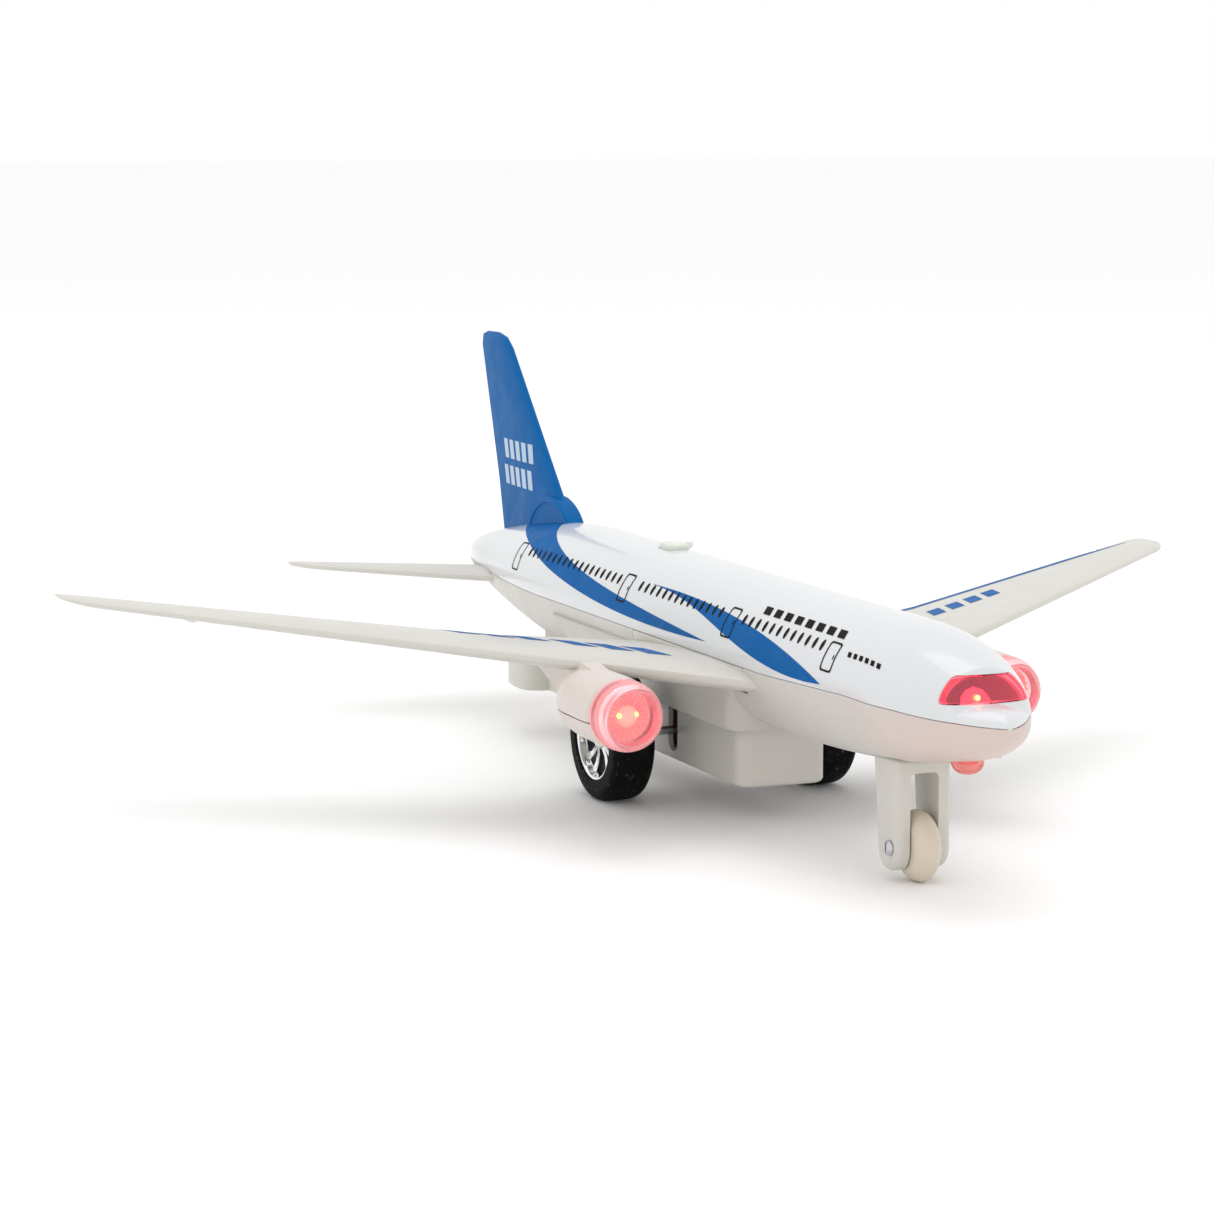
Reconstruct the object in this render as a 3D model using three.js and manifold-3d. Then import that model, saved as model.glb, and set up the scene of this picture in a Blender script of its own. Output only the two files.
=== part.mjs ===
// Toy airliner with a friction drive, lights and sound.
// Millimetres. +Z up, nose toward -Y, port (left) wing toward +X.
// Stations (y) are measured aft of the main axle; the whole airplane is
// shifted at the end so that the origin lies under the middle of its length.
import * as THREE from "three";
import { mergeVertices } from "three/addons/utils/BufferGeometryUtils.js";
import Module from "manifold-3d";

const wasm = await Module();
wasm.setup();

// ---------------------------------------------------------------- dimensions
const GAP = 0.3; // clearance between pieces that touch
const WALL = 1.5; // moulded shell wall

// fuselage
const NOSE_Y = -142;
const TAIL_Y = 157;
const BODY_R = 16;
const BODY_Z = 38;
const NOSE_LENGTH = 33;
const CHIN_LENGTH = 82;
const NOSE_PLAN_POWER = 0.71;
const NOSE_TIP_Z = 36.6;
const RADOME_LENGTH = 10;
const RADOME_RISE = 4.9;
const WINDSHIELD_FRONT_Y = -133.9;
const WINDSHIELD_REAR_Y = -130.6;
const WINDSHIELD_RISE = 6.3;
const CROWN_FRONT_Y = -132;
const CROWN_LENGTH = 30;
const TAIL_START_Y = 70;
const TAIL_CAP_Y = 151.5;
const TAIL_END_R = 4.6;
const SEAM_AFT_Z = 37.1;
const SEAM_NOSE_Z = 39.1;
const SEAM_TIP_Z = 37.9;

// belly
const BOX_HALF = 10.7;
const BOX_FRONT_Y = -39;
const BOX_REAR_Y = 79;
const BOX_BOTTOM_Z = 8.1;
const BOX_TOP_Z = 21.2;
const BOX_WALL = 1.2;
const FAIRING_HALF = 13.7;
const FAIRING_REAR_Y = 58;
const FAIRING_Z = 21.5;
const NECK_HALF = 8.4;
const NECK_REAR_Y = 90;
const POD_HALF = 17.5;
const POD_REAR_Y = 94.5;
const POD_BOTTOM_Z = 12;
const POD_CORNER = 6;

// wheels and axle
const WHEEL_R = 15;
const RIM_R = 10.35;
const TYRE_WIDTH = 10.2;
const TYRE_OUTER_X = 30.6;
const AXLE_R = 1;
const NOSE_WHEEL_R = 7.5;
const NOSE_WHEEL_Y = -103.5;
const FORK_HALF = 6.3;
const FORK_LEG = 3.1;

// wings and engines
const WING_ROOT_X = 16;
const WING_TIP_X = 142.5;
const WING_ROOT_Z = 34.4;
const WING_DIHEDRAL = 0.098;
const WING_LE_ROOT_Y = -57;
const WING_LE_SLOPE = 0.735;
const WING_TE_INNER_Y = 9.5;
const WING_TE_KINK_X = 54;
const WING_TE_SLOPE = 0.485;
const ENGINE_X = 45.1;
const ENGINE_Z = 29.6;
const ENGINE_FRONT_Y = -61.5;
const ENGINE_R = 7.7;

// friction drive
const GEAR_MODULE = 0.5;
const WHEEL_TEETH = 18;
const PINION_TEETH = 8;
const FLYWHEEL_R = 8;

// button cells, LR44 size
const CELL_R = 5.8;
const CELL_HEIGHT = 5.4;

// button on the roof
const BUTTON_Y = 24;
const BUTTON_LENGTH = 8.4;
const BUTTON_WIDTH = 5.2;

const SIDES = { left: 1, right: -1 };

// ---------------------------------------------------------------- materials
const finish = (color, roughness, metalness = 0) => ({ color, roughness, metalness });
const GLOSS_WHITE = finish(0xf4f5f7, 0.2);
const WARM_WHITE = finish(0xe9e6dc, 0.38);
const MILKY = finish(0xefe3df, 0.35);
const BLUE = finish(0x1e6fba, 0.3);
const RUBBER = finish(0x0c0c0d, 0.65);
const CHROME = finish(0xd8dadd, 0.12, 1);
const CREAM = finish(0xe8e0cc, 0.4);
const STEEL = finish(0xa9abae, 0.3, 1);
const CLEAR = finish(0xf7a8a8, 0.08);
const RED_CLEAR = finish(0xd93030, 0.15);
const NYLON = finish(0xb98a4a, 0.5);
const PCB_GREEN = finish(0x2d6a3c, 0.5);
const BRASS = finish(0xc9a24a, 0.3, 1);
const BLACK_PLASTIC = finish(0x1b1b1d, 0.5);
const PAPER = finish(0x2a2723, 0.85);

const airplane = new THREE.Group();
airplane.position.y = -(NOSE_Y + TAIL_Y) / 2;

function addPart(name, geometry, look) {
  const mesh = new THREE.Mesh(geometry, new THREE.MeshStandardMaterial(look));
  mesh.name = name;
  airplane.add(mesh);
  return mesh;
}

// ---------------------------------------------------------------- solid modelling helpers
function toSolid(geometry) {
  const bare = geometry.clone();
  for (const name of Object.keys(bare.attributes)) {
    if (name !== "position") bare.deleteAttribute(name);
  }
  const merged = mergeVertices(bare, 1e-4);
  return new wasm.Manifold(new wasm.Mesh({
    numProp: 3,
    vertProperties: new Float32Array(merged.attributes.position.array),
    triVerts: new Uint32Array(merged.index.array),
  }));
}

function toGeometry(solid) {
  const mesh = solid.getMesh();
  const geometry = new THREE.BufferGeometry();
  geometry.setAttribute("position", new THREE.BufferAttribute(new Float32Array(mesh.vertProperties), 3));
  geometry.setIndex(new THREE.BufferAttribute(new Uint32Array(mesh.triVerts), 1));
  const flat = geometry.toNonIndexed();
  flat.computeVertexNormals();
  return flat;
}

const join = (...geometries) => geometries.map(toSolid).reduce((a, b) => a.add(b));
const cut = (solid, ...tools) => tools.reduce((a, tool) => a.subtract(toSolid(tool)), solid);

// A box given by its low and high corners.
function block(x0, x1, y0, y1, z0, z1) {
  const geometry = new THREE.BoxGeometry(x1 - x0, y1 - y0, z1 - z0);
  return geometry.translate((x0 + x1) / 2, (y0 + y1) / 2, (z0 + z1) / 2);
}

// Cylinders along each axis, given by their centre line and two ends.
function rodX(r, x0, x1, y, z, segments = 24) {
  const geometry = new THREE.CylinderGeometry(r, r, x1 - x0, segments);
  return geometry.rotateZ(Math.PI / 2).translate((x0 + x1) / 2, y, z);
}

function rodY(r, x, y0, y1, z, segments = 24) {
  return new THREE.CylinderGeometry(r, r, y1 - y0, segments).translate(x, (y0 + y1) / 2, z);
}

function rodZ(r, x, y, z0, z1, segments = 24) {
  const geometry = new THREE.CylinderGeometry(r, r, z1 - z0, segments);
  return geometry.rotateX(Math.PI / 2).translate(x, y, (z0 + z1) / 2);
}

// A turned piece along +X, from [x, radius] pairs that start and end on the axis.
function turnedX(profile, y, z, segments = 32) {
  const points = profile.map(([x, r]) => new THREE.Vector2(r, x));
  const geometry = new THREE.LatheGeometry(points, segments);
  return geometry.rotateY(Math.PI / 2).rotateZ(-Math.PI / 2).translate(0, y, z);
}

// A turned piece along +Y.
function turnedY(profile, x, z, segments = 32) {
  const points = profile.map(([y, r]) => new THREE.Vector2(r, y));
  return new THREE.LatheGeometry(points, segments).translate(x, 0, z);
}

// A turned piece along +Z.
function turnedZ(profile, x, y, segments = 24) {
  const points = profile.map(([z, r]) => new THREE.Vector2(r, z));
  return new THREE.LatheGeometry(points, segments).rotateX(Math.PI / 2).translate(x, y, 0);
}

// A rounded rectangle in plan, extruded upward from z0 to z1.
function roundedBlock(x0, x1, y0, y1, z0, z1, radius, bevel = 0) {
  const shape = roundedShape(x0 + bevel, x1 - bevel, y0 + bevel, y1 - bevel, Math.max(radius - bevel, 0.1));
  const geometry = new THREE.ExtrudeGeometry(shape, {
    depth: z1 - z0 - 2 * bevel,
    bevelEnabled: bevel > 0,
    bevelThickness: bevel,
    bevelSize: bevel,
    bevelSegments: 1,
    curveSegments: 3,
  });
  return geometry.translate(0, 0, z0 + bevel);
}

function roundedShape(x0, x1, y0, y1, radius) {
  const shape = new THREE.Shape();
  shape.moveTo(x0 + radius, y0);
  shape.lineTo(x1 - radius, y0);
  shape.absarc(x1 - radius, y0 + radius, radius, -Math.PI / 2, 0);
  shape.lineTo(x1, y1 - radius);
  shape.absarc(x1 - radius, y1 - radius, radius, 0, Math.PI / 2);
  shape.lineTo(x0 + radius, y1);
  shape.absarc(x0 + radius, y1 - radius, radius, Math.PI / 2, Math.PI);
  shape.lineTo(x0, y0 + radius);
  shape.absarc(x0 + radius, y0 + radius, radius, Math.PI, 1.5 * Math.PI);
  return shape;
}

// An outline in the Y-Z plane, extruded along X between x0 and x1.
function sidePlate(outline, x0, x1, holes = []) {
  const shape = new THREE.Shape(outline.map(([y, z]) => new THREE.Vector2(y, z)));
  shape.holes = holes;
  const geometry = new THREE.ExtrudeGeometry(shape, { depth: x1 - x0, bevelEnabled: false, curveSegments: 8 });
  // local x, y, z become world y, z, x
  geometry.applyMatrix4(new THREE.Matrix4().set(0, 0, 1, 0, 1, 0, 0, 0, 0, 1, 0, 0, 0, 0, 0, 1));
  return geometry.translate(x0, 0, 0);
}

// A closed skin over rings of points that all have the same count.
function loft(rings) {
  const count = rings[0].length;
  const positions = rings.flat().flatMap((p) => [p.x, p.y, p.z]);
  const indices = [];
  for (let i = 0; i < rings.length - 1; i++) {
    for (let j = 0; j < count; j++) {
      const a = i * count + j;
      const b = i * count + ((j + 1) % count);
      indices.push(a, b, a + count, b, b + count, a + count);
    }
  }
  const last = (rings.length - 1) * count;
  for (let j = 1; j < count - 1; j++) {
    indices.push(0, j + 1, j);
    indices.push(last, last + j, last + j + 1);
  }
  const geometry = new THREE.BufferGeometry();
  geometry.setAttribute("position", new THREE.Float32BufferAttribute(positions, 3));
  geometry.setIndex(indices);
  return facingOut(geometry);
}

// Turns a closed mesh right side out if its signed volume is negative.
function facingOut(geometry) {
  const p = geometry.attributes.position;
  const index = geometry.index;
  const corner = (i) => new THREE.Vector3().fromBufferAttribute(p, index.getX(i));
  let volume = 0;
  for (let i = 0; i < index.count; i += 3) {
    volume += corner(i).dot(corner(i + 1).cross(corner(i + 2)));
  }
  if (volume < 0) index.array.reverse();
  return geometry;
}

// ---------------------------------------------------------------- fuselage form
// Half width, top and bottom heights of the body at a station.
function bodySection(y) {
  if (y > TAIL_START_Y) {
    const t = Math.min((y - TAIL_START_Y) / (TAIL_Y - TAIL_START_Y), 1);
    const end = Math.sqrt(Math.max(1 - Math.max((y - TAIL_CAP_Y) / (TAIL_Y - TAIL_CAP_Y), 0) ** 2, 0.02));
    const half = THREE.MathUtils.lerp(BODY_R, TAIL_END_R, t ** 1.7);
    const top = BODY_Z + BODY_R - 11.6 * t ** 1.6;
    const bottom = BODY_Z - BODY_R + 11.2 * t ** 1.25;
    const middle = (top + bottom) / 2;
    return {
      half: half * end,
      top: middle + (top - middle) * end,
      bottom: middle + (bottom - middle) * end,
      middle,
    };
  }
  const nose = rounding((y - NOSE_Y) / NOSE_LENGTH);
  const chin = THREE.MathUtils.clamp((NOSE_Y + CHIN_LENGTH - y) / CHIN_LENGTH, 0, 1);
  const middle = THREE.MathUtils.lerp(NOSE_TIP_Z, BODY_Z, THREE.MathUtils.clamp((y - NOSE_Y) / NOSE_LENGTH, 0, 1));
  return {
    half: BODY_R * nose ** NOSE_PLAN_POWER,
    top: noseTop(y),
    bottom: NOSE_TIP_Z - (NOSE_TIP_Z - BODY_Z + BODY_R) * Math.sqrt(1 - chin ** 1.6),
    middle,
  };
}

// Rises from 0 to 1 as t does, steepest at the start.
function rounding(t) {
  return 1 - (1 - THREE.MathUtils.clamp(t, 0, 1)) ** 2;
}

// The top line in front: a round radome, a steep windshield, then the crown.
function noseTop(y) {
  const crownRise = BODY_Z + BODY_R - NOSE_TIP_Z - RADOME_RISE - WINDSHIELD_RISE;
  const radome = RADOME_RISE * Math.sqrt(rounding((y - NOSE_Y) / RADOME_LENGTH));
  const windshield = WINDSHIELD_RISE * THREE.MathUtils.smoothstep(y, WINDSHIELD_FRONT_Y, WINDSHIELD_REAR_Y);
  const crown = crownRise * rounding((y - CROWN_FRONT_Y) / CROWN_LENGTH);
  return NOSE_TIP_Z + radome + windshield + crown;
}

// A ring of the body surface, moved outward by the offset.
function bodyRing(y, offset, segments) {
  const { half, top, bottom, middle } = bodySection(y);
  const ring = [];
  for (let i = 0; i < segments; i++) {
    const angle = (i / segments) * 2 * Math.PI;
    const reach = Math.sin(angle) > 0 ? top - middle : middle - bottom;
    const x = Math.max(half + offset, 0.2) * Math.cos(angle);
    const z = middle + Math.max(reach + offset, 0.2) * Math.sin(angle);
    ring.push(new THREE.Vector3(x, y, z));
  }
  return ring;
}

// The body as a solid, grown or shrunk by the offset.
function bodyForm(offset, segments = 20) {
  const stations = [NOSE_Y, NOSE_Y + 1, NOSE_Y + 4, WINDSHIELD_FRONT_Y, -132.2, WINDSHIELD_REAR_Y];
  stations.push(-124, -116, NOSE_Y + NOSE_LENGTH, -80, TAIL_START_Y, 90, 112, 133);
  stations.push(TAIL_CAP_Y - 3, TAIL_Y - 3.2, TAIL_Y - 0.9, TAIL_Y);
  const kept = stations.filter((y) => offset > -1 || (y > NOSE_Y + 2.2 && y < TAIL_Y - 2.4));
  return loft(kept.map((y) => {
    const shift = y < 0 ? -offset : offset;
    return bodyRing(y, offset, segments).map((p) => p.setY(y + shift));
  }));
}

// Everything below the parting line between the two shells.
function belowSeam(clearance) {
  const line = [
    [NOSE_Y - 10, SEAM_TIP_Z],
    [NOSE_Y, SEAM_TIP_Z],
    [-120, SEAM_NOSE_Z],
    [-100, SEAM_NOSE_Z],
    [-60, SEAM_AFT_Z + 0.3],
    [TAIL_Y + 10, SEAM_AFT_Z],
  ].map(([y, z]) => [y, z - clearance]);
  return sidePlate([[TAIL_Y + 10, 0], ...line.reverse(), [NOSE_Y - 10, 0]], -60, 60);
}

const bodyOuter = toSolid(bodyForm(0));
const bodyInner = toSolid(bodyForm(-WALL));
const bodyGrown = toSolid(bodyForm(GAP));

// ---------------------------------------------------------------- cockpit window
const WINDOW_BOTTOM_Z = 41.5;
const WINDOW_TOP_Z = 47;
const WINDOW_AFT_Y = -130.3;
const WINDOW_RAKE = 0.8;

// The wrap-round band that the window fills; its aft edges lean back toward the roof.
function windowBand(grow) {
  const z0 = WINDOW_BOTTOM_Z - grow;
  const z1 = WINDOW_TOP_Z + grow;
  const aft = WINDOW_AFT_Y + grow;
  return sidePlate([[-160, z0], [aft, z0], [aft + WINDOW_RAKE, z1], [-160, z1]], -30, 30);
}

function cockpitWindow() {
  const pane = bodyOuter.subtract(toSolid(bodyForm(-1.2)));
  return toGeometry(pane.intersect(toSolid(windowBand(-GAP))));
}

// ---------------------------------------------------------------- shells
const SHELL_SCREWS = [-84, 118];
const COCKPIT_LED_Y = -131;
const COCKPIT_LED_Z = 40.8;
const COCKPIT_LED_R = 2.5;
const BODY_SCREW_R = 1.2;

function skinBottomZ(y) {
  return bodySection(y).bottom;
}

function upperShell() {
  let shell = bodyOuter.subtract(bodyInner).subtract(toSolid(belowSeam(0)));
  for (const y of SHELL_SCREWS) {
    const top = bodySection(y).top - WALL / 2;
    shell = shell.add(toSolid(rodZ(3, 0, y, skinBottomZ(y) + 8, top, 14)));
    shell = cut(shell, rodZ(BODY_SCREW_R + GAP, 0, y, skinBottomZ(y) + 7, skinBottomZ(y) + 17, 12));
  }
  for (const y of BOARD_PINS_Y) {
    const post = rodZ(2.4, 0, y, BOARD_Z + BOARD_THICKNESS + GAP, 53, 12);
    shell = shell.add(join(post, rodZ(0.8, 0, y, BOARD_Z - 0.8, 46, 10)));
  }
  const buttonWell = roundedBlock(
    -BUTTON_WIDTH / 2 - GAP, BUTTON_WIDTH / 2 + GAP,
    BUTTON_Y - BUTTON_LENGTH / 2 - GAP, BUTTON_Y + BUTTON_LENGTH / 2 + GAP, 48, 60, BUTTON_WIDTH / 2);
  shell = cut(shell, windowBand(0), buttonWell);
  for (const y of FIN_TABS_Y) {
    shell = cut(shell, block(-1 - GAP, 1 + GAP, y - 4 - GAP, y + 4 + GAP, 38.5, 60));
  }
  return toGeometry(shell);
}

// The wide fairing over the belly tub, shrunk by the inset.
function bellyFairing(inset) {
  return roundedBlock(
    -FAIRING_HALF + inset, FAIRING_HALF - inset, BOX_FRONT_Y - 2.4 + inset, FAIRING_REAR_Y - inset,
    FAIRING_Z - inset, 33 - inset, 4 - inset);
}

function lowerShell() {
  const neck = roundedBlock(-NECK_HALF, NECK_HALF, FAIRING_REAR_Y - 6, NECK_REAR_Y, FAIRING_Z, 27, 3);
  const outer = bodyOuter.add(join(bellyFairing(0), neck)).intersect(toSolid(belowSeam(GAP)));
  let shell = cut(outer.subtract(bodyInner), bellyFairing(WALL));
  for (const y of SHELL_SCREWS) {
    const floor = skinBottomZ(y);
    shell = shell.add(toSolid(rodZ(3.4, 0, y, floor + 0.6, floor + 7.6, 14)));
    shell = cut(shell,
      rodZ(BODY_SCREW_R + GAP, 0, y, floor - 4, floor + 9, 10),
      rodZ(2.6, 0, y, floor - 6, floor + 4, 12));
  }
  const bulkhead = block(-FAIRING_HALF + 1, FAIRING_HALF - 1, TUB_FRONT_SCREW_Y - 1, TUB_FRONT_SCREW_Y + 1, 22, 28);
  const ledRib = block(-4.5, 4.5, COCKPIT_LED_Y + 0.9, COCKPIT_LED_Y + 2, 30, COCKPIT_LED_Z + 1);
  shell = shell.add(toSolid(bulkhead)).add(toSolid(ledRib));
  for (const [x, y] of TUB_SCREWS) {
    shell = shell.add(toSolid(rodZ(2.5, x, y, FAIRING_Z, 28, 12)));
    shell = cut(shell, rodZ(TUB_SCREW_R + GAP, x, y, 20, 26.6, 8));
  }
  shell = cut(shell, forkSocket(), rodZ(DOME_R + GAP, 0, DOME_Y, 20, 33, 14));
  shell = cut(shell, rodY(COCKPIT_LED_R + GAP, 0, -135, -120, COCKPIT_LED_Z, 12));
  for (const side of Object.values(SIDES)) {
    shell = shell.subtract(toSolid(rootWindow(side, 0)));
    shell = cut(shell, stabSlot(side));
  }
  return toGeometry(shell);
}

// ---------------------------------------------------------------- wings
const wingZ = (x) => WING_ROOT_Z + WING_DIHEDRAL * (x - WING_ROOT_X);
const wingLeadingY = (x) => WING_LE_ROOT_Y + WING_LE_SLOPE * (x - WING_ROOT_X);
const wingTrailingY = (x) => WING_TE_INNER_Y + WING_TE_SLOPE * Math.max(x - WING_TE_KINK_X, 0);

// A symmetric section in the Y-Z plane: blunt in front, thin behind.
function foilRing(x, front, rear, middle, thickness, side, points = 6) {
  const ring = [];
  const chord = rear - front;
  const at = (u) => 2.6 * Math.sqrt(u) * (1 - u) + 0.16;
  for (let i = 0; i <= points; i++) {
    const u = (1 - Math.cos((i / points) * Math.PI)) / 2;
    ring.push(new THREE.Vector3(side * x, front + chord * u, middle + (thickness / 2) * at(u)));
  }
  for (let i = points; i >= 0; i--) {
    const u = (1 - Math.cos((i / points) * Math.PI)) / 2;
    ring.push(new THREE.Vector3(side * x, front + chord * u, middle - (thickness / 2) * at(u)));
  }
  return ring;
}

function wingPanel(side, grow = 0) {
  const spans = [WING_ROOT_X - 1.6, 34, WING_TE_KINK_X, 100, WING_TIP_X - 7, WING_TIP_X];
  const rings = spans.map((x) => {
    const t = (x - WING_ROOT_X) / (WING_TIP_X - WING_ROOT_X);
    const tip = x === WING_TIP_X ? 5 : 0;
    const thickness = THREE.MathUtils.lerp(5, 1.5, Math.max(t, 0)) * (tip ? 0.6 : 1);
    const front = wingLeadingY(x) + tip - grow;
    return foilRing(x, front, wingTrailingY(x) + grow, wingZ(x), thickness + 2 * grow, side);
  });
  return loft(rings);
}

// The upright window in the lower shell's side that the wing root fills.
function rootWindow(side, inset) {
  const x0 = side > 0 ? 5 : -30;
  return block(x0, x0 + 25, -51.5 + inset, 11 - inset, 31.6 + inset, 40);
}

function flapTrack(side, x) {
  const rear = wingTrailingY(x) + 1.5;
  const front = rear - 17;
  const z = wingZ(x) - 1.2;
  return turnedY([[front, 0], [front + 3, 1.1], [front + 9, 1.4], [rear, 0]], side * x, z, 10);
}

function wing(side) {
  const inside = toSolid(bodyForm(-WALL - 1.3));
  const window = toSolid(rootWindow(side, GAP)).intersect(toSolid(belowSeam(GAP + 0.05)));
  const root = bodyOuter.subtract(inside).intersect(window);
  const fairing = toSolid(block(-14, 14, -60, 85, 18, 31.6));
  let panel = toSolid(wingPanel(side)).subtract(bodyGrown);
  const throughWall = toSolid(wingPanel(side)).intersect(window).intersect(toSolid(bodyForm(1)));
  panel = panel.add(throughWall.subtract(inside));
  for (const x of [71.5, 94.5, 116]) panel = panel.add(toSolid(flapTrack(side, x)));
  const notch = block(side * 125 - 1, side * 125 + 1, wingTrailingY(125) - 1.6, 60, 30, 60);
  return toGeometry(cut(root.add(panel).subtract(fairing), notch, wingWire(side, GAP)));
}

// ---------------------------------------------------------------- engines
const NACELLE_SEAM_Z = 28;
const NACELLE_BORE_R = 6.5;
const LED_BACK_Y = ENGINE_FRONT_Y + 15;

function nacelleForm(side) {
  const y = ENGINE_FRONT_Y;
  const profile = [
    [y + 7, 0], [y + 7, ENGINE_R], [y + 12, ENGINE_R + 0.2], [y + 24, ENGINE_R],
    [y + 28, 6.9], [y + 32, 5], [y + 34.5, 2.8], [y + 35.5, 0],
  ];
  return turnedY(profile, side * ENGINE_X, ENGINE_Z, 18);
}

function nacelleBore(side) {
  const y = ENGINE_FRONT_Y;
  const profile = [[y, 0], [y, NACELLE_BORE_R], [y + 22, NACELLE_BORE_R], [y + 27, 4.5], [y + 31, 2], [y + 31, 0]];
  return turnedY(profile, side * ENGINE_X, ENGINE_Z, 14);
}

function pylon(side) {
  const outline = [[-52, 33], [-46, 35.6], [-38, 37.4], [-30, 37.6], [-10, 35.6], [-4, 35], [-20, 31], [-48, 31]];
  return sidePlate(outline, side * ENGINE_X - 1.9, side * ENGINE_X + 1.9);
}

function nacelleUpper(side) {
  const above = block(side * ENGINE_X - 15, side * ENGINE_X + 15, -80, 10, NACELLE_SEAM_Z + GAP / 2, 60);
  const wingRoom = toSolid(wingPanel(side, GAP));
  const form = toSolid(nacelleForm(side)).add(toSolid(pylon(side)));
  const trimmed = form.intersect(toSolid(above)).subtract(wingRoom);
  return toGeometry(cut(trimmed, nacelleBore(side), wingWire(side, GAP)));
}

function nacelleLower(side) {
  const below = block(side * ENGINE_X - 15, side * ENGINE_X + 15, -80, 10, 0, NACELLE_SEAM_Z - GAP / 2);
  return toGeometry(cut(toSolid(nacelleForm(side)).intersect(toSolid(below)), nacelleBore(side)));
}

// Clear intake: a rounded lip, a dished face with a hub, and a collar that fits the nacelle.
function engineLens(side) {
  const y = ENGINE_FRONT_Y;
  const collar = NACELLE_BORE_R - GAP;
  const profile = [
    [y + 3, 0], [y + 3.2, 1.3], [y + 4, 2.2], [y + 4.6, 2.3], [y + 4.6, 5.2], [y + 0.6, 5.6], [y, 6], [y + 0.8, 6.7],
    [y + 2.4, 7.4], [y + 4.6, ENGINE_R], [y + 7 - GAP, ENGINE_R], [y + 7 - GAP, collar], [y + 10, collar],
    [y + 10, collar - 1], [y + 6, collar - 1.2], [y + 6, 0],
  ];
  return turnedY(profile, side * ENGINE_X, ENGINE_Z, 18);
}

// Distance-and-radius pairs of an LED, from its tip back to its flange.
function ledProfile(tip, r, direction = 1) {
  const outline = [[0, 0], [0.4 * r, 0.75 * r], [r, r], [4, r], [4, r + 0.4], [5, r + 0.4], [5, 0]];
  return outline.map(([d, radius]) => [tip + direction * d, radius]);
}

function engineLed(side) {
  return turnedY(ledProfile(LED_BACK_Y - 5, 1.5), side * ENGINE_X, ENGINE_Z, 8);
}

// ---------------------------------------------------------------- tail
const FIN_TABS_Y = [101, 127];

function finRing(z, front, rear, thickness) {
  return foilRing(0, front, rear, 0, thickness, 1, 7).map((p) => new THREE.Vector3(p.z, p.y, z));
}

function tailFin() {
  const blade = loft([
    finRing(44, 82, 139, 3.6),
    finRing(60, 98.5, 143.5, 3.2),
    finRing(94.5, 133.5, 156.4, 2),
    finRing(97.2, 137.5, 155.8, 1.4),
    finRing(98.2, 143, 152, 0.9),
  ]);
  const boss = new THREE.CylinderGeometry(18.5, 18.5, 4.4, 24).rotateZ(Math.PI / 2).translate(0, 101, 40);
  const toe = roundedBlock(-1.8, 1.8, 82, 96, 50, 54.7, 1.7);
  const foot = join(blade, boss, toe).subtract(bodyGrown);
  const above = toSolid(block(-10, 10, 60, 170, 43, 120));
  const tabs = FIN_TABS_Y.map((y) => block(-1, 1, y - 4, y + 4, 43.5, 53));
  return toGeometry(foot.intersect(above).add(join(...tabs)));
}

const STAB_ROOT_Z = 35.6;
const STAB_SLOPE = 0.055;

function stabPanel(side) {
  const spans = [[4, 114, 146], [24, 124, 147.5], [50, 137.5, 150], [55, 141, 150.5], [57.5, 145.5, 150]];
  const thickness = [3, 2.6, 1.7, 1.4, 0.9];
  return loft(spans.map(([x, front, rear], i) => {
    return foilRing(x, front, rear, STAB_ROOT_Z + STAB_SLOPE * (x - 8), thickness[i], side, 6);
  }));
}

function stabSlot(side) {
  const x0 = side > 0 ? 0.5 : -20.5;
  return block(x0, x0 + 20, 124 - GAP, 136 + GAP, STAB_ROOT_Z - 0.7 - GAP, STAB_ROOT_Z + 0.5 + GAP);
}

function stabiliser(side) {
  const panel = toSolid(stabPanel(side)).subtract(bodyGrown);
  const x0 = side > 0 ? 3 : -20;
  const tab = toSolid(block(x0, x0 + 17, 124, 136, STAB_ROOT_Z - 0.7, STAB_ROOT_Z + 0.5));
  const reach = toSolid(block(-14, 14, 120, 140, 30, 40));
  return toGeometry(panel.add(tab.intersect(reach)));
}

// ---------------------------------------------------------------- belly tub
const TUB_FRONT_SCREW_Y = -35.4;
const TUB_REAR_SCREW_Y = 85.5;
const TUB_SCREWS = [[7, TUB_FRONT_SCREW_Y], [-7, TUB_FRONT_SCREW_Y], [0, TUB_REAR_SCREW_Y]];
const TUB_SEAT_Z = 18.7;
const TUB_SCREW_R = 0.9;
const COVER_FRONT_Y = 18.5;
const COVER_REAR_Y = 62.5;
const COVER_HALF = 8;
const COVER_THICKNESS = 1.2;
const COVER_SCREW_Y = COVER_FRONT_Y + 3.4;
const COVER_BOSS_TOP_Z = 10.6;
const SPEAKER_Y = -23;
const SPEAKER_R = 9;

// The tub's outer form, shrunk by the inset on every face but its open top.
function tubForm(inset, top) {
  const half = BOX_HALF - inset;
  const front = roundedBlock(
    -half, half, BOX_FRONT_Y + inset, BOX_REAR_Y + 8, BOX_BOTTOM_Z + inset, top, 3 - inset);
  const pod = roundedBlock(
    -POD_HALF + inset, POD_HALF - inset, BOX_REAR_Y + inset, POD_REAR_Y - inset,
    BOX_BOTTOM_Z + inset, top, POD_CORNER - inset);
  const step = sidePlate(
    [[66, 0], [66, BOX_BOTTOM_Z + inset], [72, POD_BOTTOM_Z + inset], [120, POD_BOTTOM_Z + inset], [120, 0]], -30, 30);
  return cut(join(front, pod), step);
}

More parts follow.
